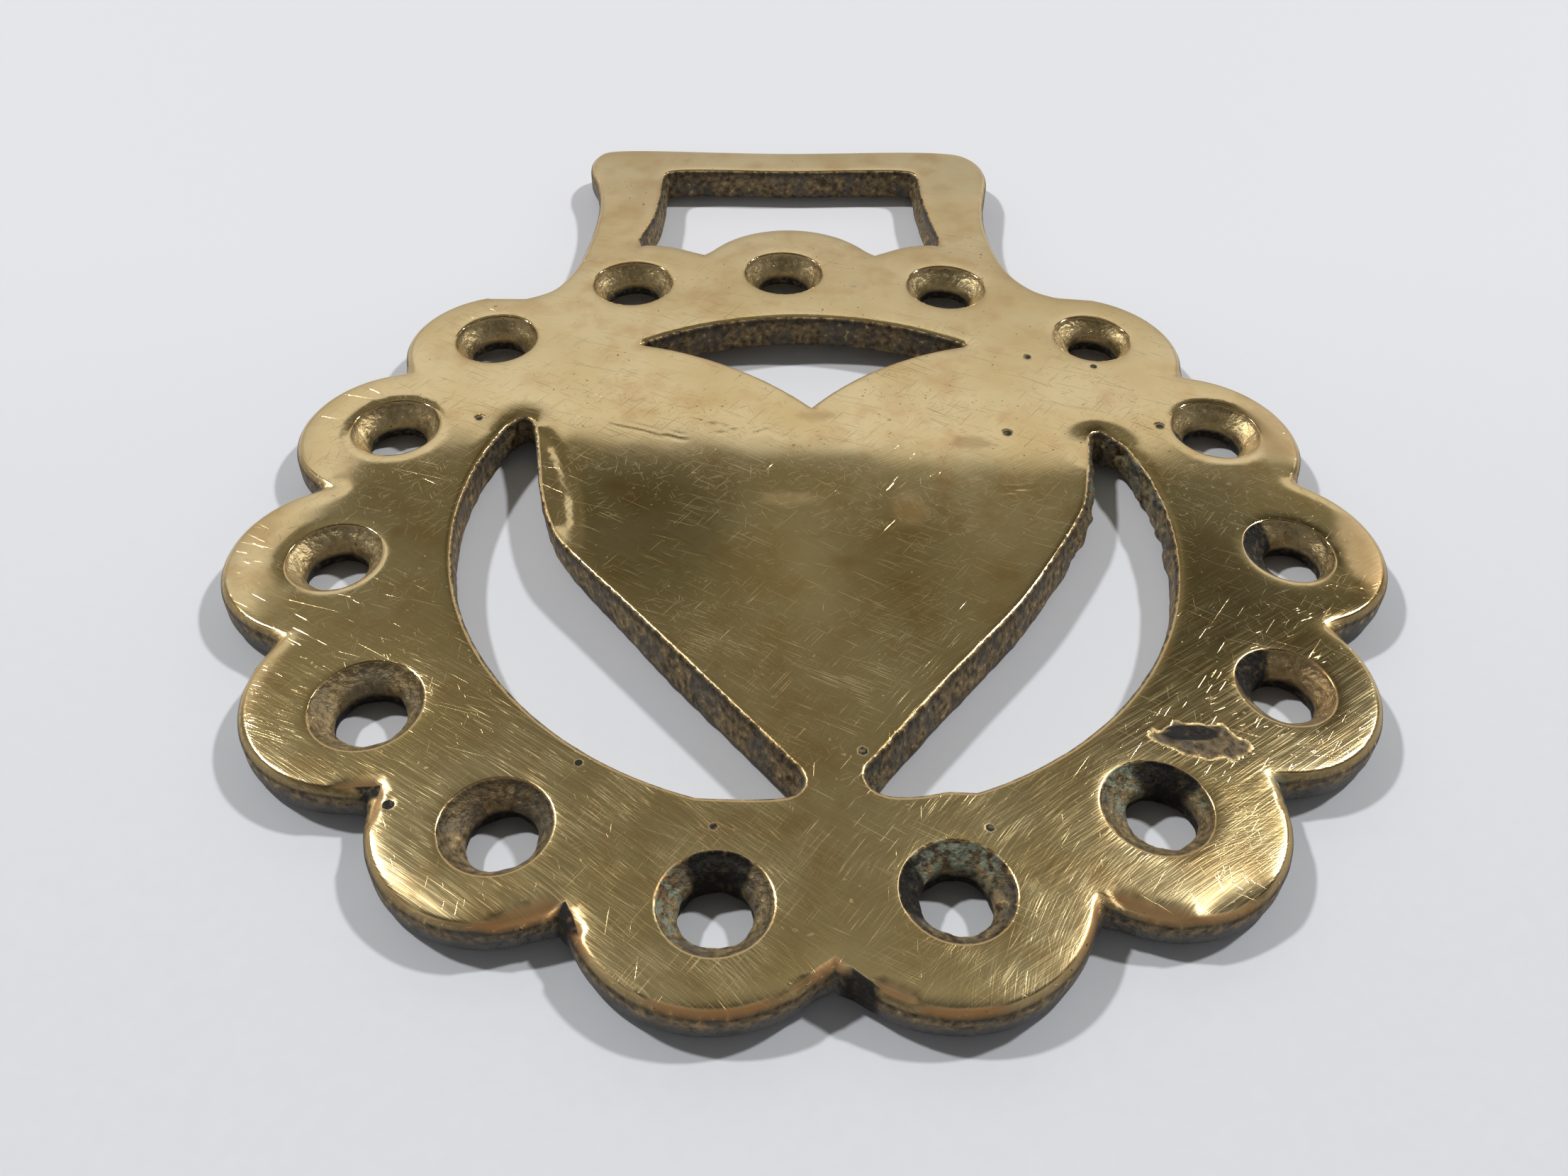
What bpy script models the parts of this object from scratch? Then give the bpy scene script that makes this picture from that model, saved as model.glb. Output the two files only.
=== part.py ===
"""Horse brass: one sand-cast plate, with a strap hanger, fifteen holed scallops and a pierced heart.

Sizes are in millimetres, and MM turns them into metres.  The plate lies on its back with its face
up (+Z) and its hanger towards +Y.  It is drawn round the middle of the ring that holds the heart,
and then moved so that the middle of its outline is over the origin.
"""
import math

import bmesh
import bpy
from mathutils import Vector, kdtree
from mathutils.geometry import delaunay_2d_cdt

MM = 0.001

# The plate
THICKNESS = 2.4
EDGE_BREAK = 0.45         # the file's bevel round the front of the outer edge
FOOT_TUCK = 0.35          # how far the outer edge tucks in again at the back
FOOT_HEIGHT = 0.6         # height at which that tuck begins
RIM_BREAK = 0.2           # the bevel round the piercings
POINT_STEP = 1.1          # distance between points along a sawn or cast edge
GRID_STEP = 5.0           # distance between points inside the two broad sides
GRID_MARGIN = 1.6         # how near to an edge those points may come

# The plate is slightly crowned, highest a little above the ring's middle
CROWN = 0.9
CROWN_MIDDLE = 12.0
CROWN_ACROSS = 40.0
CROWN_ALONG = 49.0
STRAIGHT_FROM = 34.0      # the hanger is straight across from here
STRAIGHT_FULL = 43.0      # and quite flat from here to its end

# The scalloped ring: one scallop at the top, a notch at the bottom
SCALLOPS = 15
PITCH = 360.0 / SCALLOPS
SIDE_SCALLOPS = SCALLOPS // 2
LOBE_CIRCLE = 29.9        # circle through the middles of the lobes
HOLE_CIRCLE = 30.6        # circle through the middles of the holes
NOTCH_WEB = 0.35          # metal left in a notch, which is never cut quite sharp
NOTCH_FOOT = 0.25         # the further metal left in it towards the back
NOTCH_EASE = 1.6          # how gently that metal runs out along the lobes

# The pattern was cut by hand, so each lobe strays a little from the even pitch:
# clockwise along its circle, out from the middle, and its own radius.
LOBES = {
    -7: (0.6, -1.4, 7.9), -6: (0.8, -0.4, 7.2), -5: (0.6, 0.3, 7.4), -4: (-0.1, 0.7, 7.2),
    -3: (0.2, 0.0, 7.2), -2: (-0.3, 0.0, 7.2), -1: (-0.1, -0.3, 7.3), 0: (-0.1, -0.8, 7.6),
    1: (0.1, -0.3, 7.3), 2: (0.5, -1.0, 7.6), 3: (0.8, -0.8, 7.5), 4: (0.0, 0.5, 7.4),
    5: (-0.1, -0.1, 7.3), 6: (-0.3, -0.1, 7.2), 7: (0.3, -1.3, 7.9),
}
# The same for the holes, then how deep the waist of each lies and how far to the right it leans
HOLES = {
    -7: (0.2, -0.5, 3.05, 1.2, 0.0), -6: (0.3, -0.3, 3.1, 1.6, 0.2), -5: (-0.5, 0.1, 3.3, 1.3, 0.1),
    -4: (-0.2, 0.1, 3.05, 1.3, 0.0), -3: (0.4, -0.2, 3.1, 1.7, 0.0), -2: (-0.1, 0.1, 3.1, 2.0, 0.0),
    -1: (-0.3, 0.3, 3.2, 1.9, 0.0), 0: (-0.7, -1.1, 3.2, 2.0, 0.0), 1: (0.1, -0.5, 3.2, 1.7, 0.0),
    2: (0.2, -0.1, 3.0, 1.3, 0.3), 3: (0.6, 0.3, 3.2, 1.5, 0.0), 4: (0.4, 0.7, 2.95, 1.4, 0.5),
    5: (-0.3, 0.7, 2.95, 1.3, 0.2), 6: (-0.1, -0.9, 3.1, 1.2, 0.5), 7: (0.1, -1.0, 3.05, 1.2, 0.0),
}
WAIST = 0.64              # radius of a hole's waist, as a share of the hole's radius
HOLE_FLARE = 1.06         # how much wider than its waist a hole is at the back
# A hole's bowl: share of the way down to the waist, share of the way in to it
BOWL = ((0.0, 0.0), (0.12, 0.22), (0.4, 0.6), (1.0, 1.0))
HOLE_SIDES = 24

# The ring round the heart
RING_MIDDLE = (0.2, -0.65)
RING_RADIUS = 23.45

# The hanger's outline, up the left side, over the top and down the right side
HANGER = (
    (-21.2, 26.5), (-19.4, 27.6), (-17.9, 30.4), (-17.0, 34.3), (-16.5, 38.3), (-16.4, 41.9),
    (-16.8, 45.0), (-17.5, 47.8), (-17.4, 50.0), (-16.6, 51.4), (-15.0, 51.9), (0.0, 51.5),
    (14.4, 51.7), (16.9, 51.0), (18.2, 49.2), (18.5, 46.6), (18.0, 43.7), (17.4, 40.8),
    (17.1, 37.8), (17.2, 34.8), (17.6, 31.8), (18.4, 29.2), (19.8, 27.3), (21.2, 26.5),
)
# Where the hanger's feet run out on the second scallops, in degrees from the top
HANGER_FOOT = 42.5

# The strap slot: its lower edge is the scallops, its other three sides are drawn here
SLOT_SIDES = (
    (12.4, 34.1), (12.6, 35.0), (12.2, 39.2), (12.0, 42.7), (11.9, 46.6), (11.4, 47.2),
    (0.6, 47.2), (-10.2, 47.2), (-10.7, 46.6), (-11.0, 42.7), (-11.4, 39.2), (-12.5, 35.0),
    (-12.3, 34.1),
)
SLOT_SCALLOPS = 22.0      # the scallops behind it, in degrees either side of the top
SLOT_DRAFT = 0.3          # how far a wall leans in from the face to the back

# The heart's sides, from the top tip of a side piercing down to its bottom corner
LEFT_SIDE = (
    (-20.2, 10.4), (-19.5, 10.4), (-19.1, 9.5), (-18.6, 6.3), (-18.2, 3.3), (-17.6, 0.6),
    (-16.6, -2.1), (-14.9, -4.6), (-12.8, -7.2), (-7.5, -13.9), (-2.5, -20.3), (-1.7, -21.4),
    (-1.6, -22.2), (-2.2, -22.8), (-4.1, -23.0), (-6.3, -22.9),
)
LEFT_ARC = (-161.0, -64.0)
RIGHT_SIDE = (
    (21.7, 7.8), (21.0, 8.5), (20.4, 8.2), (20.0, 6.7), (19.4, 3.8), (18.6, 0.9),
    (17.2, -1.8), (15.2, -5.0), (12.7, -8.6), (7.6, -14.5), (2.8, -20.2), (1.9, -21.3),
    (2.0, -22.3), (2.9, -22.9), (4.5, -23.0), (6.3, -22.7),
)
RIGHT_ARC = (161.0, 71.0)
HEART_DRAFT = 0.5         # the heart's walls lean out towards the back
UNDERCUT = 0.6            # how much less they do high on the left
UNDERCUT_FROM = -12.0     # where that begins
UNDERCUT_FULL = -4.0      # and where it is complete

# The heart's two shoulders, under the top piercing
TOP_ARC = (-31.0, 32.6)
CLEFT = (0.6, 11.3)
SHOULDER_RISE = 1.15
TOP_DRAFT = 0.15


def from_middle(turn, distance, middle=(0.0, 0.0)):
    """A point at a distance from a middle, turned clockwise from +Y by degrees."""
    angle = math.radians(turn)
    return Vector((middle[0] + distance * math.sin(angle), middle[1] + distance * math.cos(angle)))


def strayed(number, circle, along, out):
    """The middle of a lobe or a hole, from its even place and its stray."""
    turn = PITCH * number
    angle = math.radians(turn)
    return from_middle(turn, circle + out) + along * Vector((math.cos(angle), -math.sin(angle)))


def reach(turn, growth=0.0, web=NOTCH_WEB):
    """How far the scalloped edge is from the middle in one direction.

    Growth widens every lobe, and web fills the notches between them.
    """
    way = from_middle(turn, 1.0)
    reaches = [0.0, 0.0]
    for number, (along, out, radius) in LOBES.items():
        middle = strayed(number, LOBE_CIRCLE, along, out)
        aside = middle.x * way.y - middle.y * way.x
        if abs(aside) < radius + growth:
            reaches.append(middle.dot(way) + math.sqrt((radius + growth) ** 2 - aside ** 2))
    second, furthest = sorted(reaches)[-2:]
    return furthest + web * math.exp(-((furthest - second) / NOTCH_EASE) ** 2)


def scalloped(start, end, steps):
    """The scalloped edge between two directions."""
    turns = [start + (end - start) * step / steps for step in range(steps + 1)]
    return [from_middle(turn, reach(turn)) for turn in turns]


def arc(start, end, steps, radius=RING_RADIUS, middle=RING_MIDDLE):
    """A stretch of a circle, the ring's inner edge unless told otherwise."""
    turns = [start + (end - start) * step / steps for step in range(steps + 1)]
    return [from_middle(turn, radius, middle) for turn in turns]


def bowed(start, end, rise, steps):
    """A shallow bow from start to end that rises to the right of the way."""
    way = end - start
    side = Vector((way.y, -way.x)).normalized()
    shares = [step / steps for step in range(steps + 1)]
    return [start + way * share + side * rise * 4 * share * (1 - share) for share in shares]


def drawn(points, steps=6):
    """A smooth curve through a few points (Catmull-Rom, timed by the root of each leg's length)."""
    knots = [Vector(point) for point in points]
    knots = [2 * knots[0] - knots[1]] + knots + [2 * knots[-1] - knots[-2]]
    curve = []
    for before, here, there, after in zip(knots, knots[1:], knots[2:], knots[3:]):
        came, goes, next_leg = (math.sqrt((b - a).length) for a, b in
                                ((before, here), (here, there), (there, after)))
        leaving = (here - before) / came - (there - before) / (came + goes) + (there - here) / goes
        arriving = (there - here) / goes - (after - here) / (goes + next_leg) + (after - there) / next_leg
        for step in range(steps):
            t = step / steps
            curve.append(
                here * (2 * t ** 3 - 3 * t ** 2 + 1)
                + leaving * goes * (t ** 3 - 2 * t ** 2 + t)
                + there * (3 * t ** 2 - 2 * t ** 3)
                + arriving * goes * (t ** 3 - t ** 2)
            )
    return curve + [knots[-2]]


def corners_of(loop, least_turn=35.0, look=0.4):
    """The places in a loop where it turns sharply within a short look either way."""
    turns = []
    for place, here in enumerate(loop):
        behind = ahead = place
        while (loop[behind] - here).length < look:
            behind -= 1
        while (loop[ahead % len(loop)] - here).length < look:
            ahead += 1
        turns.append(abs((here - loop[behind]).angle_signed(loop[ahead % len(loop)] - here)))
    sharp = math.radians(least_turn)
    corners = []
    for place, turn in enumerate(turns):
        if turn > sharp:
            near = [p for p in range(len(loop)) if (loop[p] - loop[place]).length < 2 * look]
            if turn == max(turns[p] for p in near) and place == min(p for p in near if turns[p] == turn):
                corners.append(place)
    return corners or [0]


def evenly(loop, step):
    """The same loop with points about a step apart, keeping its sharp corners."""
    loop = [here for place, here in enumerate(loop) if (here - loop[place - 1]).length > 0.01]
    corners = corners_of(loop)
    result = []
    for start, end in zip(corners, corners[1:] + [corners[0] + len(loop)]):
        stretch = [loop[place % len(loop)] for place in range(start, end + 1)]
        lengths = [(b - a).length for a, b in zip(stretch, stretch[1:])]
        pieces = max(1, round(sum(lengths) / step))
        piece_length = sum(lengths) / pieces
        walked, leg = 0.0, 0
        for piece in range(pieces):
            wanted = piece * piece_length
            while leg < len(lengths) - 1 and walked + lengths[leg] < wanted:
                walked += lengths[leg]
                leg += 1
            share = (wanted - walked) / lengths[leg]
            result.append(stretch[leg].lerp(stretch[leg + 1], min(1.0, share)))
    return result


def counterclockwise(loop):
    """The loop, turned so that it runs counterclockwise seen from above."""
    doubled_area = sum(a.x * b.y - a.y * b.x for a, b in zip(loop, loop[1:] + loop[:1]))
    return loop if doubled_area > 0 else loop[::-1]


def grown(loop, distance):
    """A counterclockwise loop moved outwards, or inwards by a negative distance."""
    moved = []
    for place, here in enumerate(loop):
        way = (loop[(place + 1) % len(loop)] - loop[place - 1]).normalized()
        moved.append(here + distance * Vector((way.y, -way.x)))
    return moved


def outer_edge():
    """The scallops from the right foot of the hanger round to its left foot, then the hanger."""
    scallops = scalloped(HANGER_FOOT, 360.0 - HANGER_FOOT, 600)
    return scallops + drawn(HANGER)


def strap_slot():
    """The lower edge follows the scallops between the slot's two sides."""
    right, left = Vector(SLOT_SIDES[0]), Vector(SLOT_SIDES[-1])
    lower = [point for point in scalloped(-SLOT_SCALLOPS, SLOT_SCALLOPS, 88) if left.x < point.x < right.x]
    return lower + drawn(SLOT_SIDES)


def left_piercing():
    return arc(*LEFT_ARC, 60) + drawn(LEFT_SIDE)


def right_piercing():
    return arc(*RIGHT_ARC, 60) + drawn(RIGHT_SIDE)


def top_piercing():
    """A crescent: the ring above, the heart's two round shoulders and its cleft below."""
    above = arc(*TOP_ARC, 40)
    cleft = Vector(CLEFT)
    right_shoulder = bowed(above[-1], cleft, SHOULDER_RISE, 20)
    left_shoulder = bowed(cleft, above[0], SHOULDER_RISE, 20)
    return above + right_shoulder[1:] + left_shoulder[1:-1]


def hole_levels(number):
    """The loops of one hole from the back up to the face, with their heights."""
    along, out, radius, waist_depth, lean = HOLES[number]
    middle = strayed(number, HOLE_CIRCLE, along, out)
    waist_middle = middle + Vector((lean, 0.0))
    waist_radius = radius * WAIST
    levels = [(arc(0.0, 360.0, HOLE_SIDES, waist_radius * HOLE_FLARE, waist_middle)[:-1], 0.0)]
    for down, inward in reversed(BOWL):
        size = radius + (waist_radius - radius) * inward
        rim = arc(0.0, 360.0, HOLE_SIDES, size, middle.lerp(waist_middle, inward))[:-1]
        levels.append((rim, THICKNESS - waist_depth * down))
    return [(counterclockwise(rim), height) for rim, height in levels]


def side_draft(place):
    """How far a side piercing's wall leans in towards the back: only the heart's walls do."""
    if (place - Vector(RING_MIDDLE)).length > RING_RADIUS - 0.3:
        return 0.0
    high = (place.y - UNDERCUT_FROM) / (UNDERCUT_FULL - UNDERCUT_FROM)
    undercut = UNDERCUT * min(1.0, max(0.0, high))
    return HEART_DRAFT - undercut if place.x < 0.0 else HEART_DRAFT


def slot_draft(place):
    return SLOT_DRAFT


def top_draft(place):
    return TOP_DRAFT


def piercing_levels(edge, draft):
    """The loops of one piercing: at the back, below the broken front corner, and at the face."""
    edge = counterclockwise(evenly(edge, POINT_STEP))
    opened = grown(edge, 1.0)
    back = [here.lerp(out, -draft(here)) for here, out in zip(edge, opened)]
    return [(back, 0.0), (edge, THICKNESS - RIM_BREAK), (grown(edge, RIM_BREAK), THICKNESS)]


def outer_levels():
    """The loops of the outer edge: tucked in at the back, widest in the middle, bevelled at the face."""
    edge = counterclockwise(evenly(outer_edge(), POINT_STEP))
    turns = [math.degrees(math.atan2(point.x, point.y)) for point in edge]
    levels = []
    profile = (
        (0.0, -FOOT_TUCK, NOTCH_WEB + NOTCH_FOOT),
        (FOOT_HEIGHT, 0.0, NOTCH_WEB + NOTCH_FOOT / 2),
        (THICKNESS - EDGE_BREAK, 0.0, NOTCH_WEB),
        (THICKNESS, -EDGE_BREAK, NOTCH_WEB),
    )
    for height, growth, web in profile:
        loop = grown(edge, growth)
        for place, turn in enumerate(turns):
            if abs(turn) > HANGER_FOOT:
                loop[place] = from_middle(turn, reach(turn, growth, web))
        levels.append((loop, height))
    return levels


def add_wall(mesh, levels, outside):
    """Skin between the levels of one edge; returns its rows of vertices at the back and the face."""
    rows = [[mesh.verts.new((p.x, p.y, height)) for p in loop] for loop, height in levels]
    for lower, upper in zip(rows, rows[1:]):
        for place in range(len(lower)):
            after = (place + 1) % len(lower)
            face = [lower[place], lower[after], upper[after], upper[place]]
            mesh.faces.new(face if outside else face[::-1])
    return rows[0], rows[-1]


def grid_inside(rims):
    """Evenly spread points inside the plate, kept clear of all its edges."""
    near = kdtree.KDTree(len(rims))
    for number, rim in enumerate(rims):
        near.insert(rim.to_3d(), number)
    near.balance()
    low = Vector((min(rim.x for rim in rims), min(rim.y for rim in rims)))
    high = Vector((max(rim.x for rim in rims), max(rim.y for rim in rims)))
    points = []
    row_step = GRID_STEP * math.sqrt(0.75)
    for row in range(1, int((high.y - low.y) / row_step) + 1):
        shift = GRID_STEP / 2 * (row % 2)
        for place in range(1, int((high.x - low.x) / GRID_STEP) + 1):
            point = low + Vector((place * GRID_STEP - shift, row * row_step))
            if near.find(point.to_3d())[2] > GRID_MARGIN:
                points.append(point)
    return points


def fill_side(mesh, rows, height, facing):
    """One broad side of the plate between its rows of edge vertices, facing up (1) or down (-1)."""
    rims = [vert for row in rows for vert in row]
    places = [vert.co.to_2d() for vert in rims]
    loops, start = [], 0
    for row in rows:
        loops.append(list(range(start, start + len(row))))
        start += len(row)
    inside_with_holes = 2
    result = delaunay_2d_cdt(places + grid_inside(places), [], loops, inside_with_holes, 1e-6)
    points, faces, came_from = result[0], result[2], result[3]
    verts = {}
    for face in faces:
        for number in face:
            if number not in verts:
                old = came_from[number]
                on_edge = bool(old) and old[0] < len(rims)
                verts[number] = rims[old[0]] if on_edge else mesh.verts.new((*points[number], height))
        mesh.faces.new([verts[number] for number in face][::facing])


def lift(x, y):
    """The crown's height at one point of the plate: a shallow dome that runs out flat in the hanger."""
    straight = min(1.0, max(0.0, (y - STRAIGHT_FROM) / (STRAIGHT_FULL - STRAIGHT_FROM)))
    across = (x / CROWN_ACROSS) ** 2 * (1.0 - straight)
    bent = min(y, STRAIGHT_FULL) - CROWN_MIDDLE
    beyond = max(y, STRAIGHT_FULL) - STRAIGHT_FULL
    along = (bent ** 2 + 2.0 * bent * beyond) / CROWN_ALONG ** 2
    return CROWN * (1.0 - across - along)


def crown(mesh):
    """Raise every point by the plate's crown, then set the lowest down on the ground."""
    for vert in mesh.verts:
        vert.co.z += lift(vert.co.x, vert.co.y)
    lowest = min(vert.co.z for vert in mesh.verts)
    bmesh.ops.translate(mesh, verts=mesh.verts, vec=(0.0, 0.0, -lowest))


def centre(mesh):
    """Move the middle of the plate's outline over the origin."""
    wide = [vert.co.x for vert in mesh.verts]
    long = [vert.co.y for vert in mesh.verts]
    middle = Vector((min(wide) + max(wide), min(long) + max(long), 0.0)) / 2
    bmesh.ops.translate(mesh, verts=mesh.verts, vec=-middle)


def brass():
    """Old polished brass with its casting skin left in the piercings."""
    material = bpy.data.materials.new("cast_brass")
    material.use_nodes = True
    shader = material.node_tree.nodes["Principled BSDF"]
    shader.inputs["Base Color"].default_value = (0.42, 0.30, 0.12, 1.0)
    shader.inputs["Metallic"].default_value = 1.0
    shader.inputs["Roughness"].default_value = 0.32
    return material


def horse_brass():
    """The whole plate as one closed casting."""
    walls = [(outer_levels(), True)]
    piercings = ((strap_slot, slot_draft), (left_piercing, side_draft),
                 (right_piercing, side_draft), (top_piercing, top_draft))
    for piercing, draft in piercings:
        walls.append((piercing_levels(piercing(), draft), False))
    for number in range(-SIDE_SCALLOPS, SIDE_SCALLOPS + 1):
        walls.append((hole_levels(number), False))

    plate = bmesh.new()
    backs, faces = zip(*[add_wall(plate, levels, outside) for levels, outside in walls])
    fill_side(plate, backs, 0.0, -1)
    fill_side(plate, faces, THICKNESS, 1)
    crown(plate)
    centre(plate)
    bmesh.ops.scale(plate, verts=plate.verts, vec=(MM, MM, MM))
    bmesh.ops.triangulate(plate, faces=plate.faces)
    plate.normal_update()

    mesh = bpy.data.meshes.new("horse_brass")
    plate.to_mesh(mesh)
    plate.free()
    mesh.materials.append(brass())
    mesh.shade_smooth()
    mesh.set_sharp_from_angle(angle=math.radians(30))
    thing = bpy.data.objects.new("horse_brass", mesh)
    bpy.context.collection.objects.link(thing)
    return thing


for leftover in list(bpy.data.objects):
    bpy.data.objects.remove(leftover, do_unlink=True)
casting = horse_brass()
size = casting.dimensions / MM
print(f"horse brass: {size.x:.1f} x {size.y:.1f} x {size.z:.2f} mm")
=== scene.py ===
# %% [markdown]
# # An old horse brass
#
# A horse brass is a cast brass badge that hangs on a strap of a working horse's harness.  This one
# is a flat plate with a slot for the strap, a ring of fifteen scallops with a dished hole in each,
# and a heart in the middle, left standing between three piercings.
#
# The lesson rebuilds it as one fine mesh over the plain solid of the same size.  Every outline is
# drawn again from the same few sizes, sampled much finer, and then the casting's skin, the file's
# bevels and a century of dents and scratches are worked into it.

# %% The frame
import math

import bpy
import numpy as np
from mathutils import Matrix, Vector, kdtree, noise
from mathutils.geometry import delaunay_2d_cdt


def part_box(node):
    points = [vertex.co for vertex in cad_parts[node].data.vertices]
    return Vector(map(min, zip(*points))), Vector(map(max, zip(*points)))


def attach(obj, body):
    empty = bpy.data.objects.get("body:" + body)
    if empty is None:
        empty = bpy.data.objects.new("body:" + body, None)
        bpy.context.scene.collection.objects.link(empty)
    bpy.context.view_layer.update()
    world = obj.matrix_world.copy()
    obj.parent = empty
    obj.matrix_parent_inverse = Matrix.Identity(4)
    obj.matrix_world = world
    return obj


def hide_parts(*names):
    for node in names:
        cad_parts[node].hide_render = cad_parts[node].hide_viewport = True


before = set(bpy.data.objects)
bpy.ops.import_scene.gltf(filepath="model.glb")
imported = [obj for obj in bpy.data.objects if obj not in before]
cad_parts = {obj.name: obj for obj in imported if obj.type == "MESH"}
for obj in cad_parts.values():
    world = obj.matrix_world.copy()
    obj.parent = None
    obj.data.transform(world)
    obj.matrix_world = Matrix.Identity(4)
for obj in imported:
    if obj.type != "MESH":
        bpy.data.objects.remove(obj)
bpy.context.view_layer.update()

MM = 0.001
low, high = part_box("horse_brass")
print("solid's box in mm:", [round(float(v) / MM, 2) for v in (*low, *high)])

# %% [markdown]
# ## The plate
#
# The plate is cast a little domed: highest near the heart's shoulders, falling away to the rim, and
# running out straight in the hanger.  It could be modelled flat and bent afterwards with a modifier.
# Here everything is drawn flat first and lifted at the very end by one function, because a flat
# outline is easy to measure and a function can be asked for the height of any point.
#
# All sizes are in millimetres from the middle of the ring, with the strap hanger towards +Y.

# %% Thickness and crown


def between(value, low, high):
    """0 at or before low, 1 at or past high, straight in between; low may be the larger one."""
    return min(1.0, max(0.0, (value - low) / (high - low)))


THICKNESS = 2.4
CROWN = 0.9                          # height of the dome over its own rim
CROWN_MIDDLE = 12.0                  # the top of the dome, this far up from the ring's middle
CROWN_ACROSS, CROWN_ALONG = 40.0, 49.0
STRAIGHT_FROM, STRAIGHT_FULL = 34.0, 43.0   # where the hanger begins to run straight, and where it does


def lift(x, y):
    """The crown's height at one point of the plate."""
    across = (x / CROWN_ACROSS) ** 2 * (1.0 - between(y, STRAIGHT_FROM, STRAIGHT_FULL))
    bent = min(y, STRAIGHT_FULL) - CROWN_MIDDLE
    beyond = max(y, STRAIGHT_FULL) - STRAIGHT_FULL
    along = (bent ** 2 + 2.0 * bent * beyond) / CROWN_ALONG ** 2
    return CROWN * (1.0 - across - along)


print("the middle stands", round(lift(0.0, 0.0) - lift(37.0, 0.0), 2), "mm over the side rims")

# %% [markdown]
# ## The scallops and their holes
#
# The pattern for this casting was cut by hand.  So its scallops keep an even pitch, but each lobe and
# each hole strays from its even place by a few tenths of a millimetre.  Those strays are what makes
# it look made and not computed.  An array of one lobe round a centre would be quicker to build, but
# every lobe would be the same.  So the lobes are a table of circles, and the scalloped edge is their
# furthest reach, with a little metal left in each notch.

# %% The scallops
SCALLOPS = 15
PITCH = 360.0 / SCALLOPS
LOBE_CIRCLE = 29.9                   # the lobes' middles lie on this radius
NOTCH_WEB = 0.35                     # metal left in a notch, and how quickly it dies out beside it
NOTCH_EASE = 1.6
# clockwise along its circle, out from the middle, radius
LOBES = {
    -7: (0.6, -1.4, 7.9), -6: (0.8, -0.4, 7.2), -5: (0.6, 0.3, 7.4), -4: (-0.1, 0.7, 7.2),
    -3: (0.2, 0.0, 7.2), -2: (-0.3, 0.0, 7.2), -1: (-0.1, -0.3, 7.3), 0: (-0.1, -0.8, 7.6),
    1: (0.1, -0.3, 7.3), 2: (0.5, -1.0, 7.6), 3: (0.8, -0.8, 7.5), 4: (0.0, 0.5, 7.4),
    5: (-0.1, -0.1, 7.3), 6: (-0.3, -0.1, 7.2), 7: (0.3, -1.3, 7.9),
}
print(SCALLOPS, "scallops, one every", PITCH, "degrees")

# %% Their edge


def from_middle(turn, distance, middle=(0.0, 0.0)):
    """A point at a distance from a middle, turned clockwise from +Y by degrees."""
    angle = math.radians(turn)
    return Vector((middle[0] + distance * math.sin(angle), middle[1] + distance * math.cos(angle)))


def strayed(number, circle, along, out):
    """The middle of a lobe or a hole, from its even place and its stray."""
    turn = PITCH * number
    angle = math.radians(turn)
    return from_middle(turn, circle + out) + along * Vector((math.cos(angle), -math.sin(angle)))


def reach(turn, growth=0.0, web=NOTCH_WEB):
    """How far the scalloped edge is from the middle in one direction."""
    way = from_middle(turn, 1.0)
    reaches = [0.0, 0.0]
    for number, (along, out, radius) in LOBES.items():
        middle = strayed(number, LOBE_CIRCLE, along, out)
        aside = middle.x * way.y - middle.y * way.x
        if abs(aside) < radius + growth:
            reaches.append(middle.dot(way) + math.sqrt((radius + growth) ** 2 - aside ** 2))
    second, furthest = sorted(reaches)[-2:]
    return furthest + web * math.exp(-((furthest - second) / NOTCH_EASE) ** 2)


def scalloped(start, end, steps):
    """The scalloped edge between two directions."""
    turns = [start + (end - start) * step / steps for step in range(steps + 1)]
    return [from_middle(turn, reach(turn)) for turn in turns]


print("the scalloped edge is", round(reach(90.0), 1), "mm from the middle at the right")

# %% [markdown]
# ## Drawing the other outlines
#
# An edge can be drawn with a curve object and converted, but then nothing is known about its points
# afterwards.  Here each edge is a plain list of points made by three small functions: a stretch of a
# circle, a shallow bow, and a smooth curve through a few points.

# %% Arcs, bows and smooth curves
RING_MIDDLE = (0.2, -0.65)
RING_RADIUS = 23.45                  # the ring's inner edge, seen through the piercings


def arc(start, end, steps, radius=RING_RADIUS, middle=RING_MIDDLE):
    """A stretch of a circle, the ring's inner edge unless told otherwise."""
    turns = [start + (end - start) * step / steps for step in range(steps + 1)]
    return [from_middle(turn, radius, middle) for turn in turns]


def bowed(start, end, rise, steps):
    """A shallow bow from start to end that rises to the right of the way."""
    way = end - start
    side = Vector((way.y, -way.x)).normalized()
    shares = [step / steps for step in range(steps + 1)]
    return [start + way * share + side * rise * 4 * share * (1 - share) for share in shares]


def drawn(points, steps=12):
    """A smooth curve through a few points (Catmull-Rom, timed by the root of each leg's length)."""
    knots = [Vector(point) for point in points]
    knots = [2 * knots[0] - knots[1]] + knots + [2 * knots[-1] - knots[-2]]
    curve = []
    for before, here, there, after in zip(knots, knots[1:], knots[2:], knots[3:]):
        came, goes, next_leg = (math.sqrt((b - a).length) for a, b in
                                ((before, here), (here, there), (there, after)))
        straight = (there - here) / goes
        leaving = (here - before) / came - (there - before) / (came + goes) + straight
        arriving = straight - (after - here) / (goes + next_leg) + (after - there) / next_leg
        for step in range(steps):
            t = step / steps
            curve.append(
                here * (2 * t ** 3 - 3 * t ** 2 + 1)
                + leaving * goes * (t ** 3 - 2 * t ** 2 + t)
                + there * (3 * t ** 2 - 2 * t ** 3)
                + arriving * goes * (t ** 3 - t ** 2)
            )
    return curve + [knots[-2]]


print("a quarter of the ring's edge is", round(math.pi * RING_RADIUS / 2, 1), "mm long")

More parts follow.
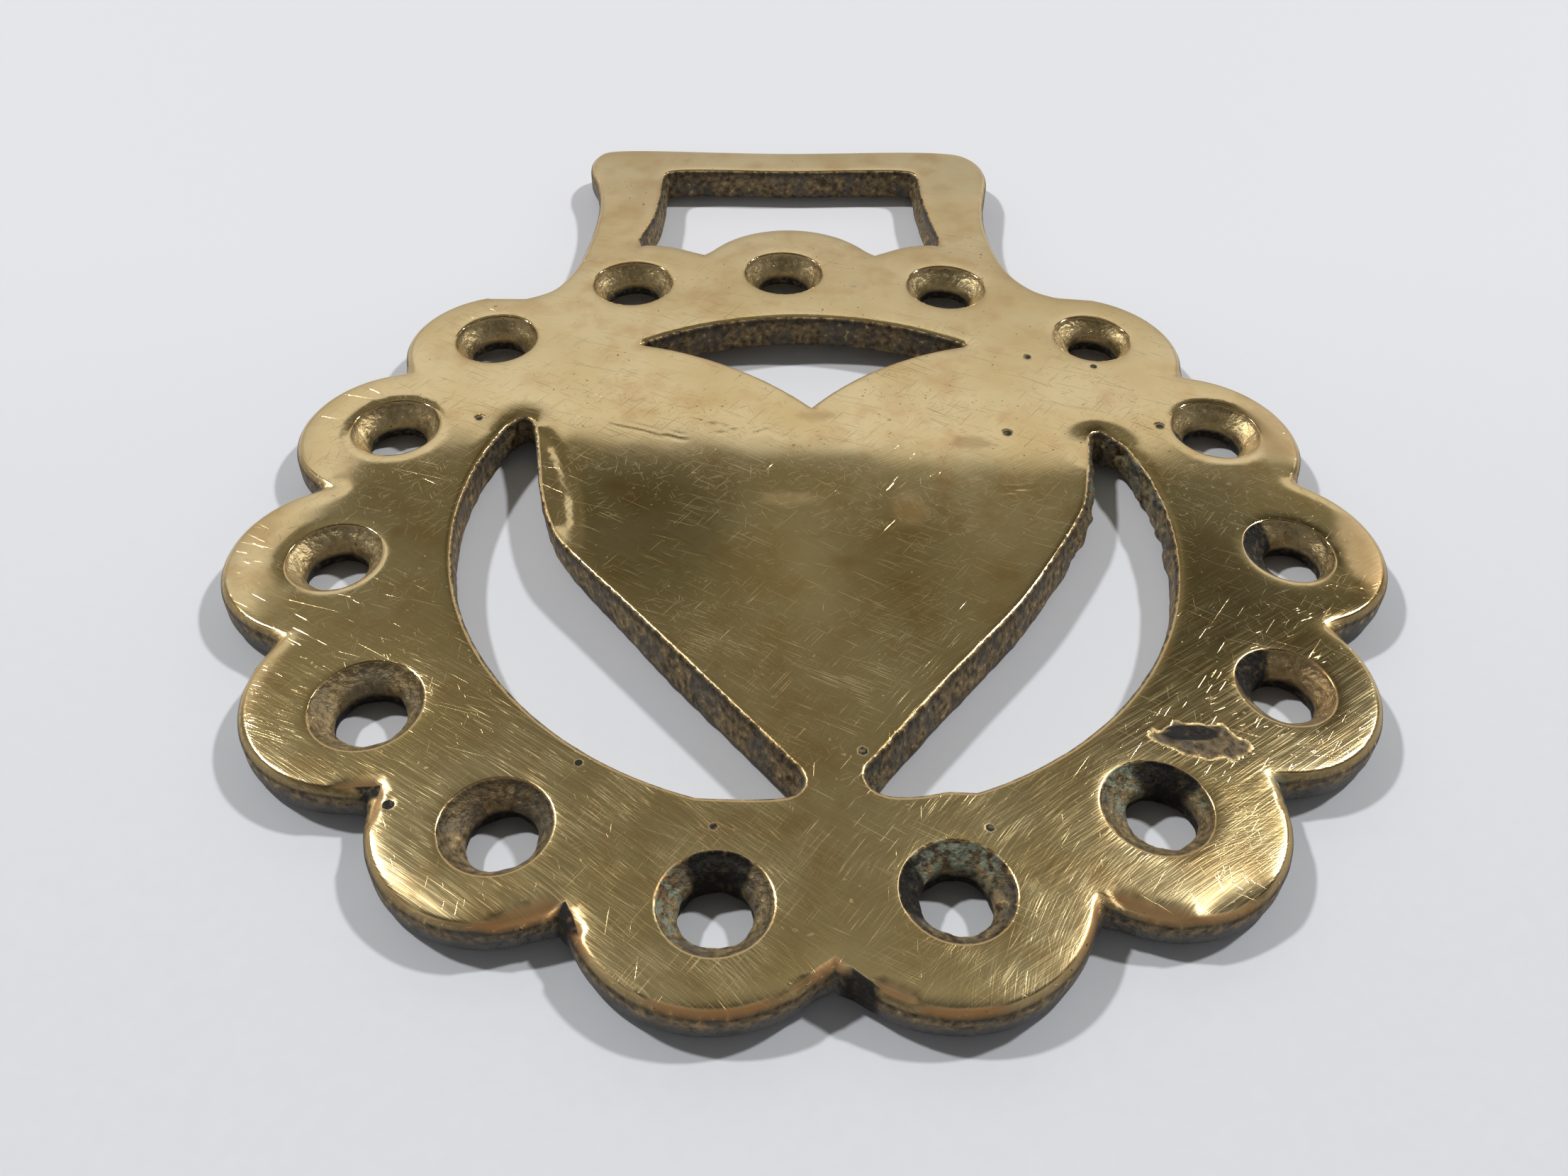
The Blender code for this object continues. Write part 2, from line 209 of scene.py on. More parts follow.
# %% [markdown]
# ## Even spacing
#
# A curve drawn through uneven points has its own points bunched together.  Polished metal would show
# that as ripples along the edge.  A remesh would even them out, but it would round the corners too.
# So each loop is walked again in even steps, and the walk starts anew at each sharp corner, such as
# a piercing's tip or a notch, which keeps it where it is.

# %% Sharp corners


def corners_of(loop, least_turn=35.0, look=0.4):
    """The places in a loop where it turns sharply within a short look either way."""
    turns = []
    for place, here in enumerate(loop):
        behind = ahead = place
        while (loop[behind] - here).length < look:
            behind -= 1
        while (loop[ahead % len(loop)] - here).length < look:
            ahead += 1
        turns.append(abs((here - loop[behind]).angle_signed(loop[ahead % len(loop)] - here)))
    corners = []
    for place, turn in enumerate(turns):
        if turn > math.radians(least_turn):
            near = [p for p in range(len(loop)) if (loop[p] - loop[place]).length < 2 * look]
            if turn == max(turns[p] for p in near) and place == min(p for p in near if turns[p] == turn):
                corners.append(place)
    return corners or [0]


full_circle = arc(0.0, 357.0, 119)
print("a full circle has no sharp corner, so its walk starts at point", corners_of(full_circle)[0])

# %% Even steps between them
FINE_STEP = 0.36                     # distance between points along an edge


def evenly(loop, step):
    """The same loop with points about a step apart, keeping its sharp corners."""
    loop = [here for place, here in enumerate(loop) if (here - loop[place - 1]).length > 0.01]
    corners = corners_of(loop)
    result = []
    for start, end in zip(corners, corners[1:] + [corners[0] + len(loop)]):
        stretch = [loop[place % len(loop)] for place in range(start, end + 1)]
        lengths = [(b - a).length for a, b in zip(stretch, stretch[1:])]
        pieces = max(1, round(sum(lengths) / step))
        piece_length = sum(lengths) / pieces
        walked, leg = 0.0, 0
        for piece in range(pieces):
            wanted = piece * piece_length
            while leg < len(lengths) - 1 and walked + lengths[leg] < wanted:
                walked += lengths[leg]
                leg += 1
            share = (wanted - walked) / lengths[leg]
            result.append(stretch[leg].lerp(stretch[leg + 1], min(1.0, share)))
    return result


def counterclockwise(loop):
    """The loop, turned so that it runs counterclockwise seen from above."""
    doubled_area = sum(a.x * b.y - a.y * b.x for a, b in zip(loop, loop[1:] + loop[:1]))
    return loop if doubled_area > 0 else loop[::-1]


def outwards(loop):
    """The direction out of a counterclockwise loop at each of its points."""
    ways = []
    for place in range(len(loop)):
        way = (loop[(place + 1) % len(loop)] - loop[place - 1]).normalized()
        ways.append(Vector((way.y, -way.x)))
    return ways


print("edges get a point every", FINE_STEP, "mm")

# %% [markdown]
# ## The hanger and its slot
#
# The strap goes through the slot behind the top bar.  The hanger's sides sweep in from the ring and
# flare again at the shoulders, and its lower edge is simply the three top scallops, which stand into
# the slot.  One side could be drawn and mirrored, but both were filed by eye and differ a little, so
# each has its own points.

# %% The outer edge and the slot
HANGER = (
    (-21.2, 26.5), (-19.4, 27.6), (-17.9, 30.4), (-17.0, 34.3), (-16.5, 38.3), (-16.4, 41.9),
    (-16.8, 45.0), (-17.5, 47.8), (-17.4, 50.0), (-16.6, 51.4), (-15.0, 51.9), (0.0, 51.5),
    (14.4, 51.7), (16.9, 51.0), (18.2, 49.2), (18.5, 46.6), (18.0, 43.7), (17.4, 40.8),
    (17.1, 37.8), (17.2, 34.8), (17.6, 31.8), (18.4, 29.2), (19.8, 27.3), (21.2, 26.5),
)
HANGER_FOOT = 42.5                   # its feet join the ring this many degrees from +Y
SLOT_SIDES = (
    (12.4, 34.1), (12.6, 35.0), (12.2, 39.2), (12.0, 42.7), (11.9, 46.6), (11.4, 47.2),
    (0.6, 47.2), (-10.2, 47.2), (-10.7, 46.6), (-11.0, 42.7), (-11.4, 39.2), (-12.5, 35.0),
    (-12.3, 34.1),
)
SLOT_SCALLOPS = 22.0                 # scallops are looked for this many degrees either way
SLOT_DRAFT = 0.3                     # the slot's walls lean in by this much at the back
SLOT_DRAFT_FROM = (35.0, 37.0)       # but only above its scallops


def outer_edge():
    """The scallops from the right foot of the hanger round to its left foot, then the hanger."""
    return scalloped(HANGER_FOOT, 360.0 - HANGER_FOOT, 1400) + drawn(HANGER)


def strap_slot():
    """The lower edge follows the scallops between the slot's two sides."""
    right, left = Vector(SLOT_SIDES[0]), Vector(SLOT_SIDES[-1])
    scallops = scalloped(-SLOT_SCALLOPS, SLOT_SCALLOPS, 220)
    return [point for point in scallops if left.x < point.x < right.x] + drawn(SLOT_SIDES)


def slot_draft(place):
    """How far the slot's wall leans in towards the back at this place."""
    return SLOT_DRAFT * between(place.y, *SLOT_DRAFT_FROM)


edge = counterclockwise(evenly(outer_edge(), FINE_STEP))
print("outer edge:", len(edge), "points")

# %% [markdown]
# ## The three piercings
#
# The heart is what is left between two large crescents and a low arch over its cleft.  The outer side
# of each opening is a stretch of the ring's inner circle, and the heart's own sides are drawn through
# points.  The heart's walls lean under towards the back, as a pattern's must so that it leaves the
# sand; the ring's walls stand upright, and high on the heart's left side the wall is undercut.
# Booleans could cut these openings out of a plate, but they leave long thin triangles, and no cutter
# leans by a different amount at each point.

# %% The side piercings
LEFT_SIDE = (
    (-20.2, 10.4), (-19.5, 10.4), (-19.1, 9.5), (-18.6, 6.3), (-18.2, 3.3), (-17.6, 0.6),
    (-16.6, -2.1), (-14.9, -4.6), (-12.8, -7.2), (-7.5, -13.9), (-2.5, -20.3), (-1.7, -21.4),
    (-1.6, -22.2), (-2.2, -22.8), (-4.1, -23.0), (-6.3, -22.9),
)
LEFT_ARC = (-161.0, -64.0)
RIGHT_SIDE = (
    (21.7, 7.8), (21.0, 8.5), (20.4, 8.2), (20.0, 6.7), (19.4, 3.8), (18.6, 0.9),
    (17.2, -1.8), (15.2, -5.0), (12.7, -8.6), (7.6, -14.5), (2.8, -20.2), (1.9, -21.3),
    (2.0, -22.3), (2.9, -22.9), (4.5, -23.0), (6.3, -22.7),
)
RIGHT_ARC = (161.0, 71.0)
HEART_DRAFT = 0.5
UNDERCUT = 0.6
UNDERCUT_FROM, UNDERCUT_FULL = -12.0, -4.0


def left_piercing():
    """The crescent left of the heart."""
    return arc(*LEFT_ARC, 120) + drawn(LEFT_SIDE)


def right_piercing():
    """The crescent right of the heart."""
    return arc(*RIGHT_ARC, 120) + drawn(RIGHT_SIDE)


def side_draft(place):
    """How far a side piercing's wall leans in towards the back: only the heart's walls do."""
    if (place - Vector(RING_MIDDLE)).length > RING_RADIUS - 0.3:
        return 0.0
    undercut = UNDERCUT * between(place.y, UNDERCUT_FROM, UNDERCUT_FULL)
    return HEART_DRAFT - undercut if place.x < 0.0 else HEART_DRAFT


print("the heart is", round(RIGHT_SIDE[0][0] - LEFT_SIDE[0][0], 1), "mm across at its shoulders")

# %% The arch over the cleft
TOP_ARC = (-31.0, 32.6)
CLEFT = (0.6, 11.3)
SHOULDER_RISE = 1.15                 # how far the heart's round shoulders stand into the arch
TOP_DRAFT = 0.15


def top_piercing():
    """A crescent: the ring above, the heart's two round shoulders and its cleft below."""
    above = arc(*TOP_ARC, 80)
    cleft = Vector(CLEFT)
    right_shoulder = bowed(above[-1], cleft, SHOULDER_RISE, 40)
    left_shoulder = bowed(cleft, above[0], SHOULDER_RISE, 40)
    return above + right_shoulder[1:] + left_shoulder[1:-1]


def top_draft(place):
    """The arch's walls lean in evenly all round."""
    return TOP_DRAFT


arch = top_piercing()
print("the arch is", round((arch[0] - arch[80]).length, 1), "mm from tip to tip")

# %% [markdown]
# ## The walls
#
# A cast wall is never square.  The file has bevelled its front corner, the pattern's draft leans it,
# and at the back it tucks in where it left the sand.  Each wall is skinned through a stack of loops:
# one row of points for each height, close together where the wall bends.  A bevel modifier would
# give the same bend everywhere, and a lathe can't follow an outline like this one.

# %% The outer wall
SHY = 0.03                           # the fine mesh stays this far inside the solid
NOTCH_FOOT = 0.25                    # more metal left in the notches towards the back
# height from the face, growth of the outline, share of that metal in the notches
OUTER_ROWS = [
    (0.0, -0.45, 0.0), (0.05, -0.36, 0.0), (0.13, -0.25, 0.0), (0.25, -0.13, 0.0), (0.4, -0.04, 0.0),
    (0.6, 0.0, 0.0), (0.9, 0.0, 0.0), (1.2, 0.0, 0.3), (1.5, 0.0, 0.5), (1.8, 0.0, 0.5),
    (2.0, -0.04, 0.6), (2.15, -0.11, 0.8), (2.28, -0.2, 0.9), (2.4, -0.35, 1.0),
]


def outer_rows():
    """The outer edge's loops from the face down to the back."""
    ways = outwards(edge)
    rows = []
    for down, growth, web in OUTER_ROWS:
        loop = []
        for here, way in zip(edge, ways):
            turn = math.degrees(math.atan2(here.x, here.y))
            if abs(turn) > HANGER_FOOT:
                loop.append(from_middle(turn, reach(turn, growth - SHY, NOTCH_WEB + NOTCH_FOOT * web)))
            else:
                loop.append(here + way * (growth - SHY))
        rows.append((loop, THICKNESS - down))
    return rows


# each wall: its name, its rows and whether it is the outside
walls = [("outer", outer_rows(), True)]
print("outer wall:", len(OUTER_ROWS), "rows")

# %% The piercings' walls
# height from the face, growth of the hole, share of the draft
PIERCING_ROWS = [
    (0.0, 0.2, 0.0), (0.04, 0.13, 0.0), (0.1, 0.06, 0.0), (0.2, 0.0, 0.0), (0.45, 0.0, 0.1),
    (0.75, 0.0, 0.25), (1.05, 0.0, 0.4), (1.35, 0.0, 0.55), (1.65, 0.0, 0.7), (1.95, 0.0, 0.82),
    (2.2, 0.0, 0.92), (2.4, 0.0, 1.0),
]


def piercing_rows(outline, draft):
    """A piercing's loops from the face down to the back."""
    loop = counterclockwise(evenly(outline, FINE_STEP))
    ways = outwards(loop)
    rows = []
    for down, growth, share in PIERCING_ROWS:
        moved = [here + way * (growth - share * draft(here)) for here, way in zip(loop, ways)]
        rows.append((moved, THICKNESS - down))
    return rows


openings = {"slot": (strap_slot, slot_draft), "left": (left_piercing, side_draft),
            "right": (right_piercing, side_draft), "top": (top_piercing, top_draft)}
for name, (outline, draft) in openings.items():
    walls.append((name, piercing_rows(outline(), draft), False))
    print(name, "opening:", len(walls[-1][1][0][0]), "points round it")

# %% [markdown]
# ## The dished holes
#
# Each scallop has a hole that was cast with a dish like a funnel: a wide mouth at the face, a narrow
# waist part of the way down, and a slight flare behind.  A boolean with a turned funnel would cut
# fifteen equal ones.  Here each is skinned from its own row of the table, so that its mouth, its
# waist's depth and its lean can differ, and so can the share of rough skin that polishing left in it.

# %% The dished holes
HOLE_CIRCLE = 30.6
# along and out as for the lobes, radius, depth of the waist, its lean to the right, skin left (0-1)
HOLES = {
    -7: (0.2, -0.5, 3.05, 1.2, 0.0, 0.9), -6: (0.3, -0.3, 3.1, 1.6, 0.2, 0.9),
    -5: (-0.5, 0.1, 3.3, 1.3, 0.1, 0.8), -4: (-0.2, 0.1, 3.05, 1.3, 0.0, 0.5),
    -3: (0.4, -0.2, 3.1, 1.7, 0.0, 0.4), -2: (-0.1, 0.1, 3.1, 2.0, 0.0, 0.35),
    -1: (-0.3, 0.3, 3.2, 1.9, 0.0, 0.4), 0: (-0.7, -1.1, 3.2, 2.0, 0.0, 0.35),
    1: (0.1, -0.5, 3.2, 1.7, 0.0, 0.4), 2: (0.2, -0.1, 3.0, 1.3, 0.3, 0.4),
    3: (0.6, 0.3, 3.2, 1.5, 0.0, 0.4), 4: (0.4, 0.7, 2.95, 1.4, 0.5, 0.5),
    5: (-0.3, 0.7, 2.95, 1.3, 0.2, 0.6), 6: (-0.1, -0.9, 3.1, 1.2, 0.5, 0.9),
    7: (0.1, -1.0, 3.05, 1.2, 0.0, 1.0),
}
WAIST = 0.64                         # the waist's size, for a mouth of 1
HOLE_FLARE = 1.06                    # the opening's size at the back, for a waist of 1
HOLE_SIDES = 64
# share of the way down to the waist, share of the way in to it
BOWL_ROWS = [
    (0.0, 0.0), (0.03, 0.025), (0.08, 0.06), (0.17, 0.15), (0.28, 0.3), (0.4, 0.47), (0.55, 0.66),
    (0.72, 0.84), (0.86, 0.95), (1.0, 1.0),
]
FLARE_ROWS = (0.35, 0.7, 1.0)        # share of the way from the waist to the back


def hole_rows(number):
    """A dished hole's loops from the face through its waist to the back."""
    along, out, radius, waist_depth, lean, skin = HOLES[number]
    middle = strayed(number, HOLE_CIRCLE, along, out)
    waist_middle = middle + Vector((lean, 0.0))
    rows = []
    for down, inward in BOWL_ROWS:
        size = radius * (1.0 + (WAIST - 1.0) * inward)
        loop = arc(0.0, 360.0, HOLE_SIDES, size, middle.lerp(waist_middle, inward))[:-1]
        rows.append((counterclockwise(loop), THICKNESS - waist_depth * down))
    below = THICKNESS - waist_depth
    for share in FLARE_ROWS:
        size = radius * WAIST * (1.0 + (HOLE_FLARE - 1.0) * share)
        loop = arc(0.0, 360.0, HOLE_SIDES, size, waist_middle)[:-1]
        rows.append((counterclockwise(loop), below * (1.0 - share)))
    return rows


for number in sorted(HOLES):
    walls.append((f"hole {number}", hole_rows(number), False))
print(len(walls), "walls,", sum(len(rows[0][0]) * len(rows) for name, rows, outside in walls), "points")

# %% [markdown]
# ## Pits, gouges and worn corners
#
# Polished metal shows every small slope, so the wear is modelled and not only painted.  The larger
# marks are written down here with their places: pits left by the sand, gouges where something was
# dragged over the heart, one casting flaw beside the lower right holes, and the corners that were
# rubbed down most.  Sculpting by hand would do this too, but numbers can be read and changed.

# %% Small marks on the face
# x, y, radius, depth, how dark it is
PITS = (
    (14.3, 8.2, 0.35, 0.03, 0.9), (17.3, 17.6, 0.35, 0.03, 0.7), (22.2, 16.5, 0.3, 0.03, 0.8),
    (25.5, 9.2, 0.35, 0.025, 0.7), (-23, 10.5, 0.3, 0.03, 0.7), (-23.9, -22.8, 0.35, 0.06, 1),
    (-13.9, -20.4, 0.3, 0.025, 0.7), (1.8, -20, 0.35, 0.03, 0.7), (-6.5, -24.8, 0.28, 0.025, 0.7),
    (8.2, -25.2, 0.3, 0.03, 0.7), (-2.2, 19.2, 0.25, 0.025, 0.7), (20.6, 21, 0.3, 0.02, 0.7),
)
# x, y, half length, half width, turn from +X in degrees, depth
GOUGES = (
    (-12.9, 9.1, 1.7, 0.12, -22.0, 0.0045), (-11.2, 8.5, 1.5, 0.12, -27.0, 0.0042),
    (-11.4, 9.2, 1.6, 0.1, -24.0, 0.0035), (-9.4, 7.9, 0.8, 0.14, -18.0, 0.0049),
    (-8.6, 7.6, 0.5, 0.12, -8.0, 0.0042), (-7.6, 9.8, 0.9, 0.12, -20.0, 0.0049),
    (-6.5, 9.3, 0.5, 0.14, -6.0, 0.0056), (-5.7, 9.1, 0.5, 0.13, -30.0, 0.0049),
    (-5.9, 8.3, 0.5, 0.12, 4.0, 0.0045), (-5.0, 8.6, 0.4, 0.12, 12.0, 0.0049),
    (-3.3, 8.3, 0.4, 0.13, 30.0, 0.0049), (-2.7, 8.6, 0.5, 0.12, 24.0, 0.0045),
    (-2.0, 7.9, 0.5, 0.1, 34.0, 0.0042), (-8.9, 8.3, 0.6, 0.1, -24.0, 0.0035),
    (14.3, 2.2, 1.4, 0.09, 4.0, 0.007), (13.4, 1.8, 0.8, 0.09, 8.0, 0.0056),
    (-27.6, 14.0, 0.9, 0.12, 60.0, 0.0052), (9.0, 13.6, 1.1, 0.1, 40.0, 0.0042),
)
FLAW = (21.3, -19.5, 2.2, 1.0, -8.0, 0.04)      # the same for the casting flaw
# x, y, radius, depth: soft hollows where the polishing ran into a piercing's tip
HOLLOWS = ((-19.8, 9.6, 3.6, 0.05), (20.8, 7.0, 3.2, 0.08))
print(len(PITS), "pits and", len(GOUGES), "gouges")

# %% Worn corners
# number of a lobe: how far its worn corner reaches in, how far it drops
WORN_LOBES = {
    -7: (1.6, 0.06), -6: (1.6, 0.09), -5: (1.3, 0.03), -4: (1.6, 0.05), -3: (1.6, 0.04), -2: (1.4, 0.04),
    -1: (1.2, 0.03), 0: (1.2, 0.03), 1: (1.2, 0.03), 2: (1.4, 0.04), 3: (1.4, 0.035), 4: (1.0, 0.03),
    5: (0.6, 0.015), 6: (0.7, 0.015), 7: (1.5, 0.05),
}
# stretches of the outer rim that were rubbed down most: x, y, radius, how far in, how far down
RUBBED = (
    (20.4, -30.2, 3.2, 2.6, 0.27), (-21.8, -28.2, 3.4, 2.2, 0.10), (5.0, -36.4, 4.0, 1.3, 0.10),
    (-6.0, -35.6, 4.0, 1.2, 0.08), (31.5, -9.0, 3.5, 1.6, 0.05),
)
# the same for corners beside the notches that were filed off at a slant and have turned brown
SLANTS = (
    (-15.4, -31.0, 2.4, 0.6, 0.3), (15.4, -31.0, 2.4, 0.6, 0.3), (26.2, -23.8, 1.8, 0.5, 0.22),
    (-25.8, -22.6, 1.8, 0.5, 0.2), (-1.6, -34.9, 1.5, 0.5, 0.22), (1.9, -35.0, 1.3, 0.5, 0.18),
)
print(len(RUBBED), "rubbed stretches and", len(SLANTS), "slanted corners")

# %% [markdown]
# ## One closed mesh
#
# What is left are the plate's two broad sides.  One large flat face would close each of them, but it
# couldn't be dented, and it would be shaded in long thin triangles, which show at once in polished
# metal.  So both are filled with a Delaunay net of evenly spread points, which is finer where a pit,
# a gouge or the flaw needs it.

# %% Evenly spread points
FACE_STEP = 0.46                     # distance between points on the face, and on the plainer back
BACK_STEP = 1.2
NET_BOX = ((0.0, 8.0), 40.0, 46.0)   # middle, half width and half height of a box round the plate
# patches of finer net, over the pits, the gouges, the flaw and the right shoulder's two scratches:
# x, y, half width, half height and step
FINE_PATCHES = [(x, y, radius + 0.5, radius + 0.5, 0.16) for x, y, radius, depth, dark in PITS]
FINE_PATCHES.append((-8.4, 8.4, 6.4, 2.9, 0.22))
FINE_PATCHES.append((FLAW[0], FLAW[1], 3.0, 1.9, 0.2))
FINE_PATCHES.append((14.2, 2.0, 1.9, 0.8, 0.2))
print(len(FINE_PATCHES), "patches of finer net")

# %% A net that keeps clear of the edges


def tree_of(spots):
    """A search tree that finds the nearest of many spots."""
    tree = kdtree.KDTree(len(spots))
    for number, spot in enumerate(spots):
        tree.insert((spot[0], spot[1], 0.0), number)
    tree.balance()
    return tree


def hexagonal(middle, half_width, half_height, step):
    """Points of a hexagonal net that fills a box."""
    row_step = step * math.sqrt(0.75)
    across = int(half_width / step)
    along = int(half_height / row_step)
    return [(middle[0] + (place + 0.5 * (row % 2)) * step, middle[1] + row * row_step)
            for row in range(-along, along + 1) for place in range(-across, across + 1)]


def in_oval(x, y, patch, limit=1.0):
    """Whether a point lies in the oval that fills a patch, or in that share of it."""
    px, py, half_width, half_height, fine = patch
    return ((x - px) / half_width) ** 2 + ((y - py) / half_height) ** 2 < limit


def grid_inside(rims, step, margin, patches=(), rings=()):
    """Evenly spread points kept clear of all edges, closer together in the patches and rings."""
    near = tree_of(rims)
    net = []
    for x, y, gap in rings:
        if near.find((x, y, 0.0))[2] > 0.9 * gap:
            net.append((x, y))
    for x, y in hexagonal(*NET_BOX, step):
        in_patch = any(in_oval(x, y, patch) for patch in patches)
        if not in_patch and near.find((x, y, 0.0))[2] > margin:
            net.append((x, y))
    for patch in patches:
        px, py, half_width, half_height, fine = patch
        for x, y in hexagonal((px, py), half_width, half_height, fine):
            if in_oval(x, y, patch, 0.95) and near.find((x, y, 0.0))[2] > 0.7 * fine:
                net.append((x, y))
    return net


plain_net = hexagonal(*NET_BOX, FACE_STEP)
print("a plain net over the whole box would have", len(plain_net), "points")

# %% The walls' points and faces
FACE, BACK = -1, -2
points = []               # x, y, height above the back
region = []               # the wall that a point belongs to, or FACE or BACK
faces = []


def add_points(new, kind):
    """Add points of one region and return the number of the first."""
    first = len(points)
    points.extend(new)
    region.extend([kind] * len(new))
    return first


rim_rows = []
foot_rows = []
for kind, (name, rows, outside) in enumerate(walls):
    starts = [add_points([(p.x, p.y, height) for p in loop], kind) for loop, height in rows]
    count = len(rows[0][0])
    for upper, lower in zip(starts, starts[1:]):
        for place in range(count):
            after = (place + 1) % count
            face = (lower + place, lower + after, upper + after, upper + place)
            faces.append(face if outside else face[::-1])
    rim_rows.append(range(starts[0], starts[0] + count))
    foot_rows.append(range(starts[-1], starts[-1] + count))
print("walls:", len(points), "points,", len(faces), "faces")

# %% The face and the back


def fill_side(rows, height, step, margin, kind, flip, patches=(), rings=()):
    """Fill one broad side between its rows of edge points."""
    rims = [number for row in rows for number in row]
    places = [Vector(points[number][:2]) for number in rims]
    net = grid_inside([points[number] for number in rims], step, margin, patches, rings)
    extra = [Vector(point) for point in net]
    loops = []
    start = 0
    for row in rows:
        loops.append(list(range(start, start + len(row))))
        start += len(row)
    inside_with_holes, nearly_nothing = 2, 1e-6
    result = delaunay_2d_cdt(places + extra, [], loops, inside_with_holes, nearly_nothing)
    spots, triangles, came_from = result[0], result[2], result[3]
    numbers = {}
    for triangle in triangles:
        for spot in triangle:
            if spot not in numbers:
                old = came_from[spot]
                on_edge = bool(old) and old[0] < len(rims)
                numbers[spot] = rims[old[0]] if on_edge else add_points([(*spots[spot], height)], kind)
        face = tuple(numbers[spot] for spot in triangle)
        faces.append(face[::-1] if flip else face)


# rings of points close inside each rim keep the face flat right up to its edges
RING_GAPS = (0.13, 0.34)
rings = []
for row, (name, rows, outside) in zip(rim_rows, walls):
    rim = [Vector(points[number][:2]) for number in row]
    sign = -1.0 if outside else 1.0
    for gap in RING_GAPS:
        rings += [(*(here + way * sign * gap), gap) for here, way in zip(rim, outwards(rim))]
fill_side(rim_rows, THICKNESS, FACE_STEP, RING_GAPS[-1] + 0.2, FACE, False, FINE_PATCHES, rings)
fill_side(foot_rows, 0.0, BACK_STEP, 0.5 * BACK_STEP, BACK, True)
spots = np.array(points)
region = np.array(region)
print(len(spots), "points,", len(faces), "faces")

# %% [markdown]
# ## The unevenness of the face
#
# The face was filed and polished by hand, so it has slow swells, and everything mirrored in it bends.
# A displacement texture could do that, but it would also have to be kept off the edges.  Functions of
# x and y are simpler: each gives the depth of one kind of wear, and their sum is taken off the height
# of every point of the face.

# %% Swells, and places along a line
SWELLS = ((15.0, 3.1, 0.024), (6.0, 7.7, 0.010), (2.2, 11.3, 0.0024))   # size, seed, height
SLACK = 0.045             # the uneven face stays under the plain crown by about this much


def wander(x, y, size, seed):
    """Smooth noise between about -1 and 1 whose swells are about one size across."""
    return noise.noise((x / size + seed, y / size - seed, seed))


def along_line(x, y, middle_x, middle_y, turn):
    """A point's place along and across a line through a middle."""
    angle = math.radians(turn)
    dx, dy = x - middle_x, y - middle_y
    return dx * math.cos(angle) + dy * math.sin(angle), dy * math.cos(angle) - dx * math.sin(angle)


print("swells of", [size for size, seed, height in SWELLS], "mm")

# %% [markdown]
# ## The filed strip and the casting flaw
#
# Somebody filed a narrow flat on the heart's upper left shoulder.  It starts at a bent line, drops at
# one slope, and fades at both ends.  A plane could cut it, but that would leave a hard edge all round.
# The flaw is a shallow ragged scar where the metal didn't fill the sand: a soft oval whose edge is
# broken up by noise, because a smooth oval would look like a thumb print.

# %% The filed strip and the flaw
STRIP_LINE = ((-17.2, 7.6), (-15.5, 1.9), (-14.9, -2.8))    # its inner edge from top to foot
STRIP_WIDTH = 1.2
STRIP_SLOPE = 0.168       # depth for each mm across
STRIP_REACH = 2.8         # it never reaches further from its line than this
ABOVE, BELOW = 1.5, 1.0   # how far it runs on past the line's two ends
TOP_FADE, FOOT_FADE = 0.5, 2.0      # how far inside those ends it reaches its full depth
FLAW_RAGS = (1.1, 5.0)    # size and seed of the noise that makes the flaw's edge ragged


def strip_depth(x, y):
    """The narrow flat that was filed on the heart's upper left shoulder."""
    (x0, y0), (x1, y1), (x2, y2) = STRIP_LINE
    if y > y0 + ABOVE or y < y2 - BELOW:
        return 0.0
    foot_x, foot_y = (x0, y0) if y > y1 else (x2, y2)
    line_x = x1 + (foot_x - x1) * (y - y1) / (foot_y - y1)
    if x > line_x or x < line_x - STRIP_REACH:
        return 0.0
    fade = between(y, y2 - BELOW, y2 + FOOT_FADE) * between(y, y0 + ABOVE, y0 - TOP_FADE)
    return STRIP_SLOPE * min(line_x - x, STRIP_WIDTH) * fade


def flaw_share(x, y):
    """How deep inside the casting flaw a point lies, from 0 outside to 1."""
    px, py, half_length, half_width, turn, deep = FLAW
    along, across = along_line(x, y, px, py, turn)
    away = (along / half_length) ** 2 + (across / half_width) ** 2
    ragged = 1.0 + 0.7 * wander(x, y, *FLAW_RAGS)
    return math.exp(-(away * ragged) ** 2) if away < 2.5 else 0.0


print("the strip drops", round(STRIP_SLOPE * STRIP_WIDTH, 2), "mm at most")

# %% Depth of all marks together
BURR, BURR_PLACE = 0.4, 2.0          # the metal a gouge threw up beside it: its share, half widths away
FLAW_LUMPS = (0.6, 21.0)             # size and seed


def relief(x, y):
    """How far one point of the face lies below the plain crown, without the rims' rounding."""
    depth = SLACK
    for size, seed, height in SWELLS:
        depth -= height * wander(x, y, size, seed)
    for px, py, radius, deep, dark in PITS:
        away = ((x - px) ** 2 + (y - py) ** 2) / radius ** 2
        if away < 4.0:
            depth += deep * math.exp(-1.5 * away ** 2)
    for px, py, radius, deep in HOLLOWS:
        away = math.hypot(x - px, y - py) / radius
        if away < 1.0:
            depth += deep * (1.0 - away ** 2) ** 2
    for px, py, half_length, half_width, turn, deep in GOUGES:
        along, across = along_line(x, y, px, py, turn)
        if abs(along) < half_length and abs(across) < 4 * half_width:
            share = 1.0 - (along / half_length) ** 2
            groove = math.exp(-(across / half_width) ** 2)
            burr = BURR * math.exp(-(across / half_width - BURR_PLACE) ** 2)
            depth += deep * share * (groove - burr)
    lumpy = 0.7 + 0.9 * wander(x, y, *FLAW_LUMPS)
    depth += FLAW[5] * flaw_share(x, y) * lumpy
    return depth + strip_depth(x, y)


print("the flaw is", round(relief(FLAW[0], FLAW[1]) - SLACK, 3), "mm deep in the middle")

